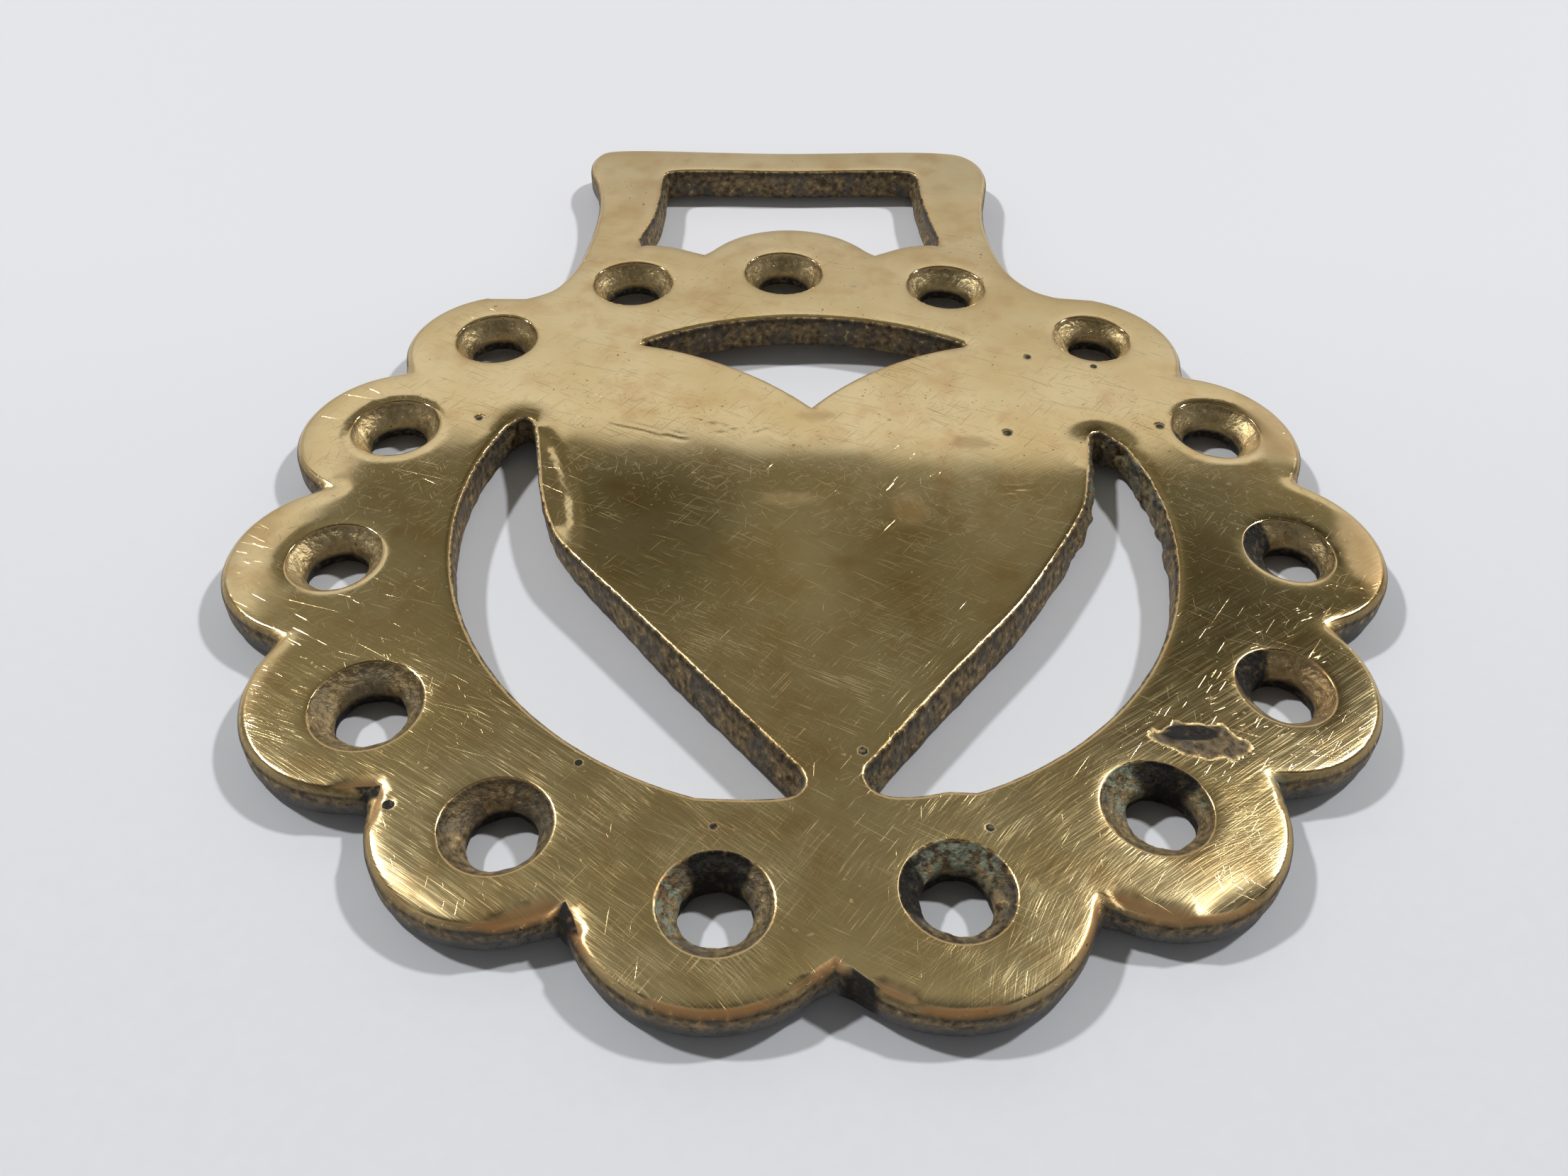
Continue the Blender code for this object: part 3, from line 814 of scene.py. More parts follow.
# %% [markdown]
# ## Rounded rims
#
# Years of polishing round an edge over: little at the piercings, more at the ring's own rims, most
# where the brass swung against a buckle.  A bevel modifier knows only one width, while here the
# distance to the nearest rim gives each point its own drop.

# %% Worn corners of the outer rim
HANGER_FROM = 36.0                   # above this the rim is the hanger's: how far in, how far down
HANGER_RIM = (1.0, 0.04)
SLANT_RAGS = (0.9, 9.0)              # size and seed of the noise that makes a slant's outline ragged
SLANT_EASE = 2.5                     # how quickly a slant reaches its full depth


def worn_corner(x, y):
    """How far in the outer rim is rounded here, and how deep: mostly the lobes' corners."""
    if y > HANGER_FROM:
        return HANGER_RIM
    nearest = math.degrees(math.atan2(x, y)) / PITCH
    last = WORN_LOBES[7 if nearest > 0.0 else -7]
    first = WORN_LOBES.get(math.floor(nearest), last)
    second = WORN_LOBES.get(math.floor(nearest) + 1, last)
    share = nearest - math.floor(nearest)
    share = share * share * (3.0 - 2.0 * share)
    return tuple(a + (b - a) * share for a, b in zip(first, second))


def rubbed(x, y, away):
    """What the most rubbed stretches add, for a point this far from the outer rim."""
    total = 0.0
    for px, py, radius, reach_in, drop in RUBBED:
        share = 1.0 - ((x - px) ** 2 + (y - py) ** 2) / radius ** 2
        if share > 0.0 and away < reach_in:
            total += drop * share ** 2 * (1.0 - away / reach_in) ** 3
    return total


def slant(x, y, away):
    """What a slanted corner adds: straight down to the rim, with a ragged outline."""
    total = 0.0
    for px, py, radius, reach_in, drop in SLANTS:
        share = 1.0 - ((x - px) ** 2 + (y - py) ** 2) / radius ** 2
        share += 0.4 * wander(x, y, *SLANT_RAGS)
        if share > 0.0 and away < reach_in:
            total = max(total, drop * min(1.0, SLANT_EASE * share) * (1.0 - away / reach_in))
    return total


print("the lowest lobe's corner drops", round(worn_corner(4.0, -37.0)[1], 3), "mm")

# %% Rounding of every rim
RING_FROM = 21.5                     # rims this far from the ring's middle are the ring's own
INNER_REACH, RING_REACH = 0.3, 0.35  # the rounding at a piercing, and what the ring's side adds to it
INNER_DROP, RING_DROP = 0.01, 0.028
outer_tree = tree_of([spots[number] for number in rim_rows[0]])
inner_tree = tree_of([spots[number] for row in rim_rows[1:] for number in row])


def rim_drop(x, y):
    """How far the face is rounded down at this point by its nearest rims."""
    reach_in, drop = worn_corner(x, y)
    away = outer_tree.find((x, y, 0.0))[2]
    outer_drop = drop * max(0.0, 1.0 - away / reach_in) ** 3
    outer_drop += rubbed(x, y, away) + slant(x, y, away)
    away = inner_tree.find((x, y, 0.0))[2]
    from_ring = math.hypot(x - RING_MIDDLE[0], y - RING_MIDDLE[1])
    on_ring = between(from_ring, RING_FROM, RING_FROM + 1.0)
    inner_reach, inner_drop = INNER_REACH + RING_REACH * on_ring, INNER_DROP + RING_DROP * on_ring
    return outer_drop + inner_drop * max(0.0, 1.0 - away / inner_reach) ** 2


corner_drop = max(rim_drop(*spots[number][:2]) for number in rim_rows[0])
print("the outer rim drops by up to", round(corner_drop, 2), "mm")

# %% The face's heights
WALL_FADE = 1.3           # a rim's change of height dies out this far down its wall
low_rim = min(lift(x, y) for x, y in (spots[number][:2] for number in foot_rows[0]))
heights = spots[:, 2].copy()
for number in np.nonzero(region == FACE)[0]:
    x, y = spots[number][:2]
    heights[number] -= relief(x, y) + rim_drop(x, y)
for row, (name, rows, outside) in zip(rim_rows, walls):
    for place, number in enumerate(row):
        x, y = spots[number][:2]
        change = relief(x, y) + rim_drop(x, y)
        for level, (loop, height) in enumerate(rows):
            fade = max(0.0, 1.0 - (THICKNESS - height) / WALL_FADE)
            heights[number + level * len(row)] -= change * fade
print("the face is worn down by up to", round(float((spots[:, 2] - heights).max()), 2), "mm")

# %% [markdown]
# ## The casting's skin
#
# Where no file or buff reached, the brass keeps the skin of the sand it was cast in: a fine grain and
# coarser lumps.  Real foundry sand is 0.1 to 0.3 mm, which shows as grain of about a third of a
# millimetre.  The walls' points are pushed in and out by two noises of those sizes; a displacement
# modifier would push the sharp polished rims as well.

# %% Skin on the walls and the back
GRAIN_SIZE = 0.35
LUMP_SIZE, LUMP_HEIGHT = 1.2, 0.8
# depth of the fine grain and of the coarse lumps of each wall
SKIN = {"outer": (0.01, 0.05), "slot": (0.012, 0.04), "left": (0.03, 0.08), "right": (0.035, 0.09),
        "top": (0.03, 0.07)}
# the same in a polished hole, and what a hole with all of its skin adds
HOLE_GRAIN, HOLE_LUMPS = (0.002, 0.05), (0.004, 0.18)
TORN = (22.0, 2.0, 9.0)   # x, y and radius of the right piercing's torn tip
TORN_GRAIN, TORN_LUMPS = 0.06, 0.5
SKIN_STARTS, SKIN_FULL = 0.02, 0.5   # depth below the rim where the push begins, and how soon it is full
BACK_HOLLOW = 0.03                   # the back stands this far clear of the table
BACK_SWELLS = ((3.0, 31.0, 0.02), (1.4, 37.0, 0.012))    # and is uneven: size, seed, height


def skin_of(name, x, y):
    """Grain and lumps of the casting skin at a place on a wall."""
    if name.startswith("hole"):
        left = HOLES[int(name[5:])][5]
        return HOLE_GRAIN[0] + HOLE_GRAIN[1] * left, HOLE_LUMPS[0] + HOLE_LUMPS[1] * left
    grain, lumps = SKIN[name]
    torn = max(0.0, 1.0 - math.hypot(x - TORN[0], y - TORN[1]) / TORN[2]) if name == "right" else 0.0
    return grain + TORN_GRAIN * torn, lumps + TORN_LUMPS * torn


for row, (name, rows, outside) in zip(rim_rows, walls):
    ways = outwards([Vector(spots[number][:2]) for number in row])
    for level, (loop, height) in enumerate(rows):
        fade = min(1.0, max(0.0, (THICKNESS - height) - SKIN_STARTS) / SKIN_FULL)
        for place, way in enumerate(ways):
            number = row[0] + level * len(row) + place
            x, y = spots[number][:2]
            z = heights[number]
            grain, lumps = skin_of(name, x, y)
            push = grain * noise.noise((x / GRAIN_SIZE, y / GRAIN_SIZE, z / GRAIN_SIZE))
            push += lumps * noise.noise((x / LUMP_SIZE + 40.0, y / LUMP_SIZE, z / LUMP_HEIGHT))
            if outside:
                push = min(push, 0.0)
            spots[number][:2] += np.array(way) * push * fade
for number in np.nonzero(region == BACK)[0]:
    x, y = spots[number][:2]
    heights[number] += BACK_HOLLOW
    for size, seed, height in BACK_SWELLS:
        heights[number] += height * wander(x, y, size, seed)
print("skin on", len(walls), "walls and", int((region == BACK).sum()), "points of the back")

# %% [markdown]
# ## The brass
#
# Now the plan, the heights and the crown come together.  Walls, face and back could be three objects
# that are joined later, but a casting is one closed piece, so it is one mesh from the start.  It lies
# on the table with its lowest rim at zero, moved to the place of the solid that it stands for, and it
# takes that solid's body, while the solid itself is hidden.

# %% The mesh
ROW_SHIFT = np.array((-0.0053, -8.0236, 0.0))     # from the ring's middle to the solid's own middle
crowned = heights + np.array([lift(x, y) for x, y in spots[:, :2]]) - low_rim
placed = np.stack([spots[:, 0], spots[:, 1], np.maximum(crowned, 0.0)], 1) + ROW_SHIFT
mesh = bpy.data.meshes.new("brass_plate")
mesh.from_pydata((placed * MM).tolist(), [], faces)
mesh.validate()
mesh.shade_smooth()
brass = bpy.data.objects.new("brass_plate", mesh)
bpy.context.collection.objects.link(brass)
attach(brass, "root")
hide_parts("horse_brass")
print("brass:", [round(float(v), 2) for v in placed.max(0) - placed.min(0)], "mm")

# %% [markdown]
# ## Where the metal looks different
#
# The brass is one metal, but not one surface: polish ends at the rims, the walls keep their brown
# casting skin, dirt sits in the pits and the bowls with painted shade deep in the bores, and file
# lines run in swathes.  Each of these is a number stored at every point of the mesh, which one
# material then reads.  Painted masks would need image files, while numbers follow the outlines
# exactly.

# %% Spots of tarnish, dirt and old polish
# where, x, y, half width, half height, strength: warm brown tarnish on corners and walls
WARM_SPOTS = [
    ("outer", 5.3, -36.4, 3.2, 1.2, 1.0), ("outer", -6.4, -35.3, 3.4, 1.2, 0.9),
    ("outer", -15.7, -30.9, 3.4, 1.8, 0.9), ("hole -7", -9.5, -27.7, 1.6, 1.5, 1.0),
    ("face", 21.3, -20.3, 1.5, 0.4, 0.5), ("face", 11.7, 7.2, 1.2, 0.7, 0.22),
    ("face", 0.9, 10.2, 1.3, 0.6, 0.2), ("face", -1.5, 1.2, 1.8, 0.7, 0.2),
    ("face", 6.5, 0.2, 1.2, 1.6, 0.15), ("outer", 20.0, -30.9, 5.0, 1.2, 0.7),
    ("outer", -27.6, -18.6, 2.6, 1.2, 0.5), ("outer", -0.9, -33.8, 0.9, 1.6, 0.8),
    ("outer", 12.4, -31.2, 1.6, 1.6, 0.7), ("hole -6", -17.9, -23.0, 2.0, 2.0, 0.4),
    ("face", 36.6, -3.8, 2.0, 4.0, 0.4), ("face", 33.2, 8.8, 1.8, 3.0, 0.3),
    ("face", -36.3, 1.5, 1.6, 3.5, 0.25), ("hole 5", 29.0, -15.0, 2.0, 2.0, 0.5),
    ("hole 4", 31.0, -6.5, 2.0, 2.0, 0.5),
]
# the same for black dirt and dark specks
DIRT_SPOTS = [("face", x, y, 0.8 * radius, 0.8 * radius, dark) for x, y, radius, depth, dark in PITS]
DIRT_SPOTS += [
    ("hole -7", -6.2, -27.0, 1.5, 1.3, 1.0), ("face", 20.6, -18.9, 1.5, 0.5, 0.9),
    ("hole 3", 26.8, 7.0, 1.3, 2.0, 0.9), ("outer", -24.8, -21.4, 1.2, 0.8, 0.6),
    ("outer", -13.2, -29.6, 1.2, 1.2, 0.6), ("hole 4", 29.3, -3.4, 1.4, 2.4, 0.8),
    ("hole 5", 25.5, -13.5, 1.4, 2.4, 0.7), ("hole 6", 20.0, -21.5, 3.0, 1.2, 0.6),
    ("hole 7", 3.3, -28.6, 1.2, 1.6, 0.8), ("outer", 0.6, -34.2, 1.0, 1.4, 0.5),
]
# and for pale green residue of old metal polish
RESIDUE_SPOTS = [
    ("hole 7", 5.5, -27.0, 3.0, 1.6, 0.9), ("hole 6", 16.4, -22.5, 1.4, 1.8, 0.9),
    ("hole -7", -8.9, -29.3, 1.0, 2.2, 0.8), ("right", 4.0, -21.8, 1.6, 1.2, 0.8),
    ("hole 6", 20.9, -22.4, 1.2, 1.2, 0.6), ("outer", 23.9, -22.5, 1.4, 1.0, 0.6),
    ("hole -6", -15.2, -23.5, 1.0, 1.6, 0.4), ("left", -4.6, -21.6, 1.0, 1.0, 0.4),
    ("face", 4.9, 27.6, 0.35, 0.3, 1.0), ("left", -18.6, 7.0, 2.2, 2.6, 0.5),
    ("right", 21.5, 3.0, 3.0, 4.0, 0.5),
]
print(len(WARM_SPOTS), "warm,", len(DIRT_SPOTS), "dirty and", len(RESIDUE_SPOTS), "green spots")

# %% Ragged spots, and depth below the rim
SPOT_RAGS = (0.8, 17.0)              # size and seed of the noise that makes a spot's edge ragged
SPOT_EDGE = 1.6                      # where a spot has just faded away; 1 less is where it is full


def in_spots(place, x, y, spots_list):
    """The strongest of the ragged oval spots that lie on this part of the mesh."""
    best = 0.0
    for where, sx, sy, rx, ry, strength in spots_list:
        if where != place:
            continue
        away = ((x - sx) / rx) ** 2 + ((y - sy) / ry) ** 2
        if away < 2.0:
            ragged = away + 0.5 * wander(x, y, *SPOT_RAGS)
            best = max(best, strength * min(1.0, max(0.0, SPOT_EDGE - ragged)))
    return best


depths = np.zeros(len(spots))
for row, (name, rows, outside) in zip(rim_rows, walls):
    for level, (loop, height) in enumerate(rows):
        start = row[0] + level * len(row)
        depths[start:start + len(row)] = THICKNESS - height
depths[region == BACK] = THICKNESS
print("points right on a rim:", int(((depths == 0.0) & (region >= 0)).sum()))

# %% [markdown]
# ## Which way the file went
#
# File lines never cover a hand-finished casting evenly.  Here they run slantwise over the lower left
# of the ring and swing in arcs over the lower right.  An unwrapped map could carry that direction, but
# it would have seams.  Instead each point stores how far along and how far across the lines it lies,
# and how strong they are there, so that scratches can be drawn in that direction.

# %% The lines' direction
ARC_MIDDLE = (25.5, -39.0)           # the file swung round this point on the lower right
ARC_STRETCH = 20.0                   # mm along the arc for each radian
LINE_TURN, TURN_CHANGE, TURN_FROM = -37.0, 0.5, -20.0    # degrees, degrees for each mm, and from where
RIGHT_OF, BELOW_RIGHT = (2.0, 6.0), (-18.0, -23.0)       # x and y between which the arcs come in
LEFT_OF, BELOW_LEFT = (2.0, -4.0), (-7.0, -13.0)         # and the slanted lines


def file_lines(x, y):
    """Place along and across the file lines at one point of the plan, and how strong they are."""
    lower_right = between(x, *RIGHT_OF) * between(y, *BELOW_RIGHT)
    if lower_right > 0.0:
        dx, dy = x - ARC_MIDDLE[0], y - ARC_MIDDLE[1]
        return math.atan2(dy, dx) * ARC_STRETCH, math.hypot(dx, dy), lower_right
    lower_left = between(x, *LEFT_OF) * between(y, *BELOW_LEFT)
    turn = LINE_TURN - TURN_CHANGE * (x - TURN_FROM)
    return (*along_line(x, y, 0.0, 0.0, turn), lower_left)


flow = np.array([file_lines(x, y) for x, y, height in spots])
print("file lines on", round(float((flow[:, 2] > 0.5).mean()) * 100), "% of the points")

# %% Numbers stored at the points
RIM_FACE, RIM_WALL = 0.2, 0.3        # how far a rim's warmer tone reaches over the face and down a wall
FLAW_EDGE = (0.12, 0.24)             # shares of the flaw's depth between which its skin begins
FLAW_DEEPER = 0.5                    # the flaw's skin is coloured as if it lay this far below a rim, which gives it some of the painted shade under the rim
SLANT_WARMTH, SLANT_SHOWS = 0.8, 0.1 # how brown a slanted corner is, from this depth on
BORE_SHADE = (1.4, 2.1, 0.85)              # depths in a hole between which painted shade sets in deep in the bore, and how strong it is
titles = ("skin", "dirt_and_shade", "warm", "residue", "rim", "outside", "depth")
stored = {title: np.zeros(len(spots)) for title in titles}
stored["depth"] = depths.copy()
for number, (x, y, height) in enumerate(spots):
    where = region[number]
    name = "face" if where == FACE else "back" if where == BACK else walls[where][0]
    warm = in_spots(name, x, y, WARM_SPOTS)
    dirt_and_shade = in_spots(name, x, y, DIRT_SPOTS)
    if name == "face" or depths[number] == 0.0:
        rim = max(0.0, 1.0 - inner_tree.find((x, y, 0.0))[2] / RIM_FACE)
        slanted = slant(x, y, outer_tree.find((x, y, 0.0))[2])
        warm = max(warm, SLANT_WARMTH * between(slanted, 0.0, SLANT_SHOWS))
        skin = between(flaw_share(x, y), *FLAW_EDGE)
        stored["depth"][number] += FLAW_DEEPER if skin > 0.0 else 0.0
    else:
        rim = max(0.0, 1.0 - depths[number] / RIM_WALL)
        skin = 1.0
        if name.startswith("hole"):
            skin = HOLES[int(name[5:])][5]
            # painted shade deep in a hole's bore goes in with the dirt
            dirt_and_shade = max(dirt_and_shade, BORE_SHADE[2] * between(depths[number], *BORE_SHADE[:2]))
    stored["residue"][number] = in_spots(name, x, y, RESIDUE_SPOTS)
    stored["outside"][number] = 1.0 if name == "outer" else 0.0
    stored["warm"][number], stored["dirt_and_shade"][number] = warm, dirt_and_shade
    stored["rim"][number], stored["skin"][number] = rim, skin

for title, values in stored.items():
    mesh.attributes.new(title, "FLOAT", "POINT").data.foreach_set("value", values)
mesh.attributes.new("flow", "FLOAT_VECTOR", "POINT").data.foreach_set("vector", flow.ravel())
print("stored", len(stored) + 1, "kinds of numbers at", len(mesh.vertices), "points")

# %% [markdown]
# ## The metal
#
# The real thing is yellow brass, cast, filed and then polished for a century.  Polished brass is a
# mirror with a yellow tint, broken by fine scratches.  Under the polish the colour is always the same:
# what changes is how rough it is and what lies on it.  So the material starts from one brass colour
# and adds, in order, scratches, warm tarnish, casting skin with painted shade on its walls, residue,
# and dirt with painted shade deep in the bores.

# %% Colours and nodes


def linear(code):
    """An sRGB hex colour as linear red, green, blue and alpha."""
    parts = [int(code[place:place + 2], 16) / 255 for place in (1, 3, 5)]
    return tuple(v / 12.92 if v <= 0.04045 else ((v + 0.055) / 1.055) ** 2.4 for v in parts) + (1.0,)


def node(tree, kind, inputs=(), **settings):
    """Add one node: its settings, then its inputs in order or by name, each a value or a link."""
    new = tree.nodes.new("ShaderNode" + kind)
    for name, value in settings.items():
        setattr(new, name, value)
    sockets = [socket for socket in new.inputs if socket.enabled]
    if isinstance(inputs, dict):
        pairs = [(next(s for s in sockets if s.name == name), value) for name, value in inputs.items()]
    else:
        pairs = zip(sockets, inputs)
    for socket, value in pairs:
        if isinstance(value, bpy.types.NodeSocket):
            tree.links.new(value, socket)
        else:
            socket.default_value = value
    return next(socket for socket in new.outputs if socket.enabled)


# a mirror under fine scratches: it takes its brightness from the room and only its tint from itself
metal = bpy.data.materials.new("worn_polished_brass")
metal.use_nodes = True
tree = metal.node_tree
shader = tree.nodes["Principled BSDF"]
mesh.materials.append(metal)
in_metres = node(tree, "TexCoord").node.outputs["Object"]
mm = node(tree, "VectorMath", (in_metres, 1.0 / MM), operation="SCALE")
across, height, level = node(tree, "SeparateXYZ", (mm,)).node.outputs
sideways = node(tree, "Math", (across,), operation="ABSOLUTE")
stored = {title: node(tree, "Attribute", attribute_name=title).node.outputs["Fac"] for title in titles}
flow = node(tree, "Attribute", attribute_name="flow").node.outputs["Vector"]
flow_strength = node(tree, "SeparateXYZ", (flow,)).node.outputs["Z"]
print("the material reads", len(stored) + 1, "stored attributes")

# %% [markdown]
# ## Two patterns
#
# Everything irregular on the metal is one of two patterns: soft clouds, whose patches have one size,
# and long thin streaks.  Both are the same noise, and a streak is only noise that was stretched along
# its way.  A polishing scratch is about 0.02 mm wide, which is too fine to show at this distance, so
# all scratches are drawn 0.07 to 0.09 mm wide, about as coarse as they need to be.

# %% Clouds and streaks


def cloud(size, seed, detail=3.0):
    """Noise whose patches are about one size in mm across."""
    shifted = node(tree, "VectorMath", (mm, (seed, seed, seed)), operation="ADD")
    return node(tree, "TexNoise", (shifted, 1.0 / size, detail))


def streaks(length, width, turn, low, high, seed, laid_on=None):
    """Long thin marks: noise of one length and width in mm, cut off below a level."""
    source = mm if laid_on is None else laid_on
    turned, size = (0.0, 0.0, math.radians(turn)), (length, width, 50.0)
    laid = node(tree, "Mapping", (source, (seed, seed, 0.0), turned, size), vector_type="TEXTURE")
    return node(tree, "MapRange", (node(tree, "TexNoise", (laid, 1.0, 1.0)), low, high))


# length, width, turn, lower and upper level, seed, strength
RANDOM_MARKS = (
    (4.5, 0.08, -34.0, 0.71, 0.79, 1.0, 0.8), (3.5, 0.08, 52.0, 0.71, 0.79, 23.0, 0.8),
    (7.0, 0.07, -20.0, 0.72, 0.79, 47.0, 0.8), (2.5, 0.08, 85.0, 0.74, 0.81, 71.0, 0.8),
    (1.6, 0.07, 22.0, 0.7, 0.78, 151.0, 0.4), (1.3, 0.07, -68.0, 0.7, 0.78, 173.0, 0.4),
)
marks = 0.0
for *way, strength in RANDOM_MARKS:
    one_way = node(tree, "Math", (streaks(*way), strength), operation="MULTIPLY")
    marks = node(tree, "Math", (one_way, marks), operation="MAXIMUM")
# in some places hardly any: patches of about 9 mm
bare = node(tree, "MapRange", (cloud(9.0, 61.0, 2.0), 0.4, 0.6, 0.25, 1.0))
marks = node(tree, "Math", (marks, bare), operation="MULTIPLY")
print(len(RANDOM_MARKS), "kinds of random scratches")

# %% [markdown]
# ## File lines and crossing lines
#
# File lines follow the direction stored at the points, in swathes, and come as many fine ones with a
# few bold ones among them.  Modelled as grooves they would need a mesh twenty times as fine, so they
# are streaks of noise laid on that stored direction.  On the heart's lower tip two sets of lines
# cross, where the buff was pushed first one way and then the other.

# %% File lines
fine_lines = streaks(5.0, 0.09, 0.0, 0.46, 0.7, 3.0, flow)
bold_lines = streaks(2.5, 0.09, 0.0, 0.64, 0.76, 9.0, flow)
fine_lines = node(tree, "Math", (fine_lines, 0.55), operation="MULTIPLY")
bold_lines = node(tree, "Math", (bold_lines, 0.85), operation="MULTIPLY")
swathes = node(tree, "MapRange", (cloud(3.5, 43.0, 2.0), 0.4, 0.62, 0.25, 1.0))
filed = node(tree, "Math", (fine_lines, bold_lines), operation="MAXIMUM")
filed = node(tree, "Math", (filed, flow_strength), operation="MULTIPLY")
filed = node(tree, "Math", (filed, swathes), operation="MULTIPLY")
print("file lines 0.09 mm wide, in swathes of about 3.5 mm")

# %% Crossing lines
here_or_there = cloud(3.0, 15.0)
here = node(tree, "MapRange", (here_or_there, 0.42, 0.55))
there = node(tree, "MapRange", (here_or_there, 0.55, 0.42))
one_way = streaks(4.0, 0.08, 52.0, 0.58, 0.75, 13.0)
one_way = node(tree, "Math", (one_way, here), operation="MULTIPLY")
other_way = streaks(5.0, 0.08, -28.0, 0.58, 0.75, 33.0)
other_way = node(tree, "Math", (other_way, there), operation="MULTIPLY")
crossing = node(tree, "Math", (one_way, other_way), operation="MAXIMUM")
# only low on the heart: below 14 mm under the ring's middle, and within 15 mm of its axis
low_down = node(tree, "MapRange", (height, -14.0, -20.0))
close_in = node(tree, "MapRange", (sideways, 15.0, 9.0))
for share in (0.85, low_down, close_in, swathes):
    crossing = node(tree, "Math", (crossing, share), operation="MULTIPLY")
lines = node(tree, "Math", (marks, filed), operation="MAXIMUM")
lines = node(tree, "Math", (lines, crossing), operation="MAXIMUM")
print("scratches use", len(tree.nodes), "nodes so far")

# %% [markdown]
# ## The brass's own colour
#
# Freshly polished brass is a pale yellow.  An hour of handling smears it, tarnish turns it honey in
# blotches, and the rims, which the cloth misses, go a warmer tan.  In a few corners it has turned
# brown.  One colour ramp could hold all five tones, but each has its own cause and its own place, so
# they are laid one over the other, in the order in which they came about.

# %% From yellow to honey to brown
YELLOW, SMEARED = linear("#DFCA9A"), linear("#D2B983")    # polished brass, and a finger's film on it
HONEY, TAN, BROWN = linear("#C8A672"), linear("#C79F66"), linear("#B57F4C")    # three ages of tarnish
smears = node(tree, "MapRange", (cloud(6.0, 5.0), 0.35, 0.7))
colour = node(tree, "Mix", (smears, YELLOW, SMEARED), data_type="RGBA")
blotches = node(tree, "MapRange", (cloud(2.6, 37.0, 4.0), 0.5, 0.72, 0.0, 0.65))
colour = node(tree, "Mix", (blotches, colour, HONEY), data_type="RGBA")
rims = node(tree, "Math", (stored["rim"], 0.45), operation="MULTIPLY")
colour = node(tree, "Mix", (rims, colour, TAN), data_type="RGBA")
browned = node(tree, "Math", (stored["warm"], 0.8), operation="MULTIPLY")
brass_colour = node(tree, "Mix", (browned, colour, BROWN), data_type="RGBA")
print("brass in", len((YELLOW, SMEARED, HONEY, TAN, BROWN)), "tones")

# %% [markdown]
# ## The casting skin
#
# The skin is brown oxide with grey patches where sand has burnt on.  Just under the rim a painted
# shade darkens it, and low on the outer wall it turns grey: partly the grey of burnt-on sand that the
# polishing cloth never reached, partly a painted reflection of the dark near side.  A second material
# on the walls' faces would end at a hard line, so the skin is mixed into the one material by how deep
# a point lies.  Foundry sand is 0.1 to 0.3 mm, but the skin's grain is drawn at 0.45 mm, because
# finer grain wouldn't show from here.

# %% The skin's colour
DARK_OXIDE, PALE_OXIDE = linear("#4A3D2B"), linear("#A58F69")
COOL_GREY, WARM_GREY = linear("#6E7072"), linear("#5B5A56")     # burnt-on sand
UNDER_RIM_SHADE = linear("#1F1A13")                                      # painted shade just under the rim
skin_noise = cloud(0.45, 11.0, 4.0)
patch_noise = cloud(1.8, 17.0, 3.0)
brown_share = node(tree, "MapRange", (skin_noise, 0.35, 0.65))
brown = node(tree, "Mix", (brown_share, DARK_OXIDE, PALE_OXIDE), data_type="RGBA")
grey_share = node(tree, "MapRange", (patch_noise, 0.3, 0.7))
grey = node(tree, "Mix", (grey_share, COOL_GREY, WARM_GREY), data_type="RGBA")
patches = node(tree, "MapRange", (patch_noise, 0.5, 0.62, 0.0, 0.6))
skin_colour = node(tree, "Mix", (patches, brown, grey), data_type="RGBA")
# painted shade from 0.08 to 0.75 mm below the rim
under_rim = node(tree, "MapRange", (stored["depth"], 0.08, 0.2))
above_rest = node(tree, "MapRange", (stored["depth"], 0.75, 0.3, 0.0, 0.55))
painted_rim_shade = node(tree, "Math", (under_rim, above_rest), operation="MULTIPLY")
skin_colour = node(tree, "Mix", (painted_rim_shade, skin_colour, UNDER_RIM_SHADE), data_type="RGBA")
# grey from about 1 mm down the outer wall: burnt-on sand, and a painted reflection of the dark near side
low_down = node(tree, "MapRange", (stored["depth"], 0.9, 1.5))
below = node(tree, "Math", (stored["outside"], low_down), operation="MULTIPLY")
sand_grey_and_painted_dark = node(tree, "Math", (below, 0.85), operation="MULTIPLY")
skin_colour = node(tree, "Mix", (sand_grey_and_painted_dark, skin_colour, grey), data_type="RGBA")
print("skin grain 0.45 mm, grey patches 1.8 mm")

# %% Where the skin lies
# inside the openings it starts at the rim, on the outer wall the file took off the first 0.1 mm
inner_start = node(tree, "MapRange", (stored["depth"], 0.0, 0.08))
outer_start = node(tree, "MapRange", (stored["depth"], 0.08, 0.38))
skin_from = node(tree, "Mix", (stored["outside"], inner_start, outer_start))
skin_share = node(tree, "Math", (skin_from, stored["skin"]), operation="MULTIPLY")
# brass shows through on the highest grains, less so low down
grains = node(tree, "MapRange", (skin_noise, 0.64, 0.7))
less_low_down = node(tree, "MapRange", (below, 0.0, 1.0, 0.55, 0.0))
worn_through = node(tree, "Math", (grains, less_low_down), operation="MULTIPLY")
skin_share = node(tree, "Math", (skin_share, worn_through), operation="SUBTRACT", use_clamp=True)
colour = node(tree, "Mix", (skin_share, brass_colour, skin_colour), data_type="RGBA")
print("skin starts 0.08 mm below a rim at the latest")
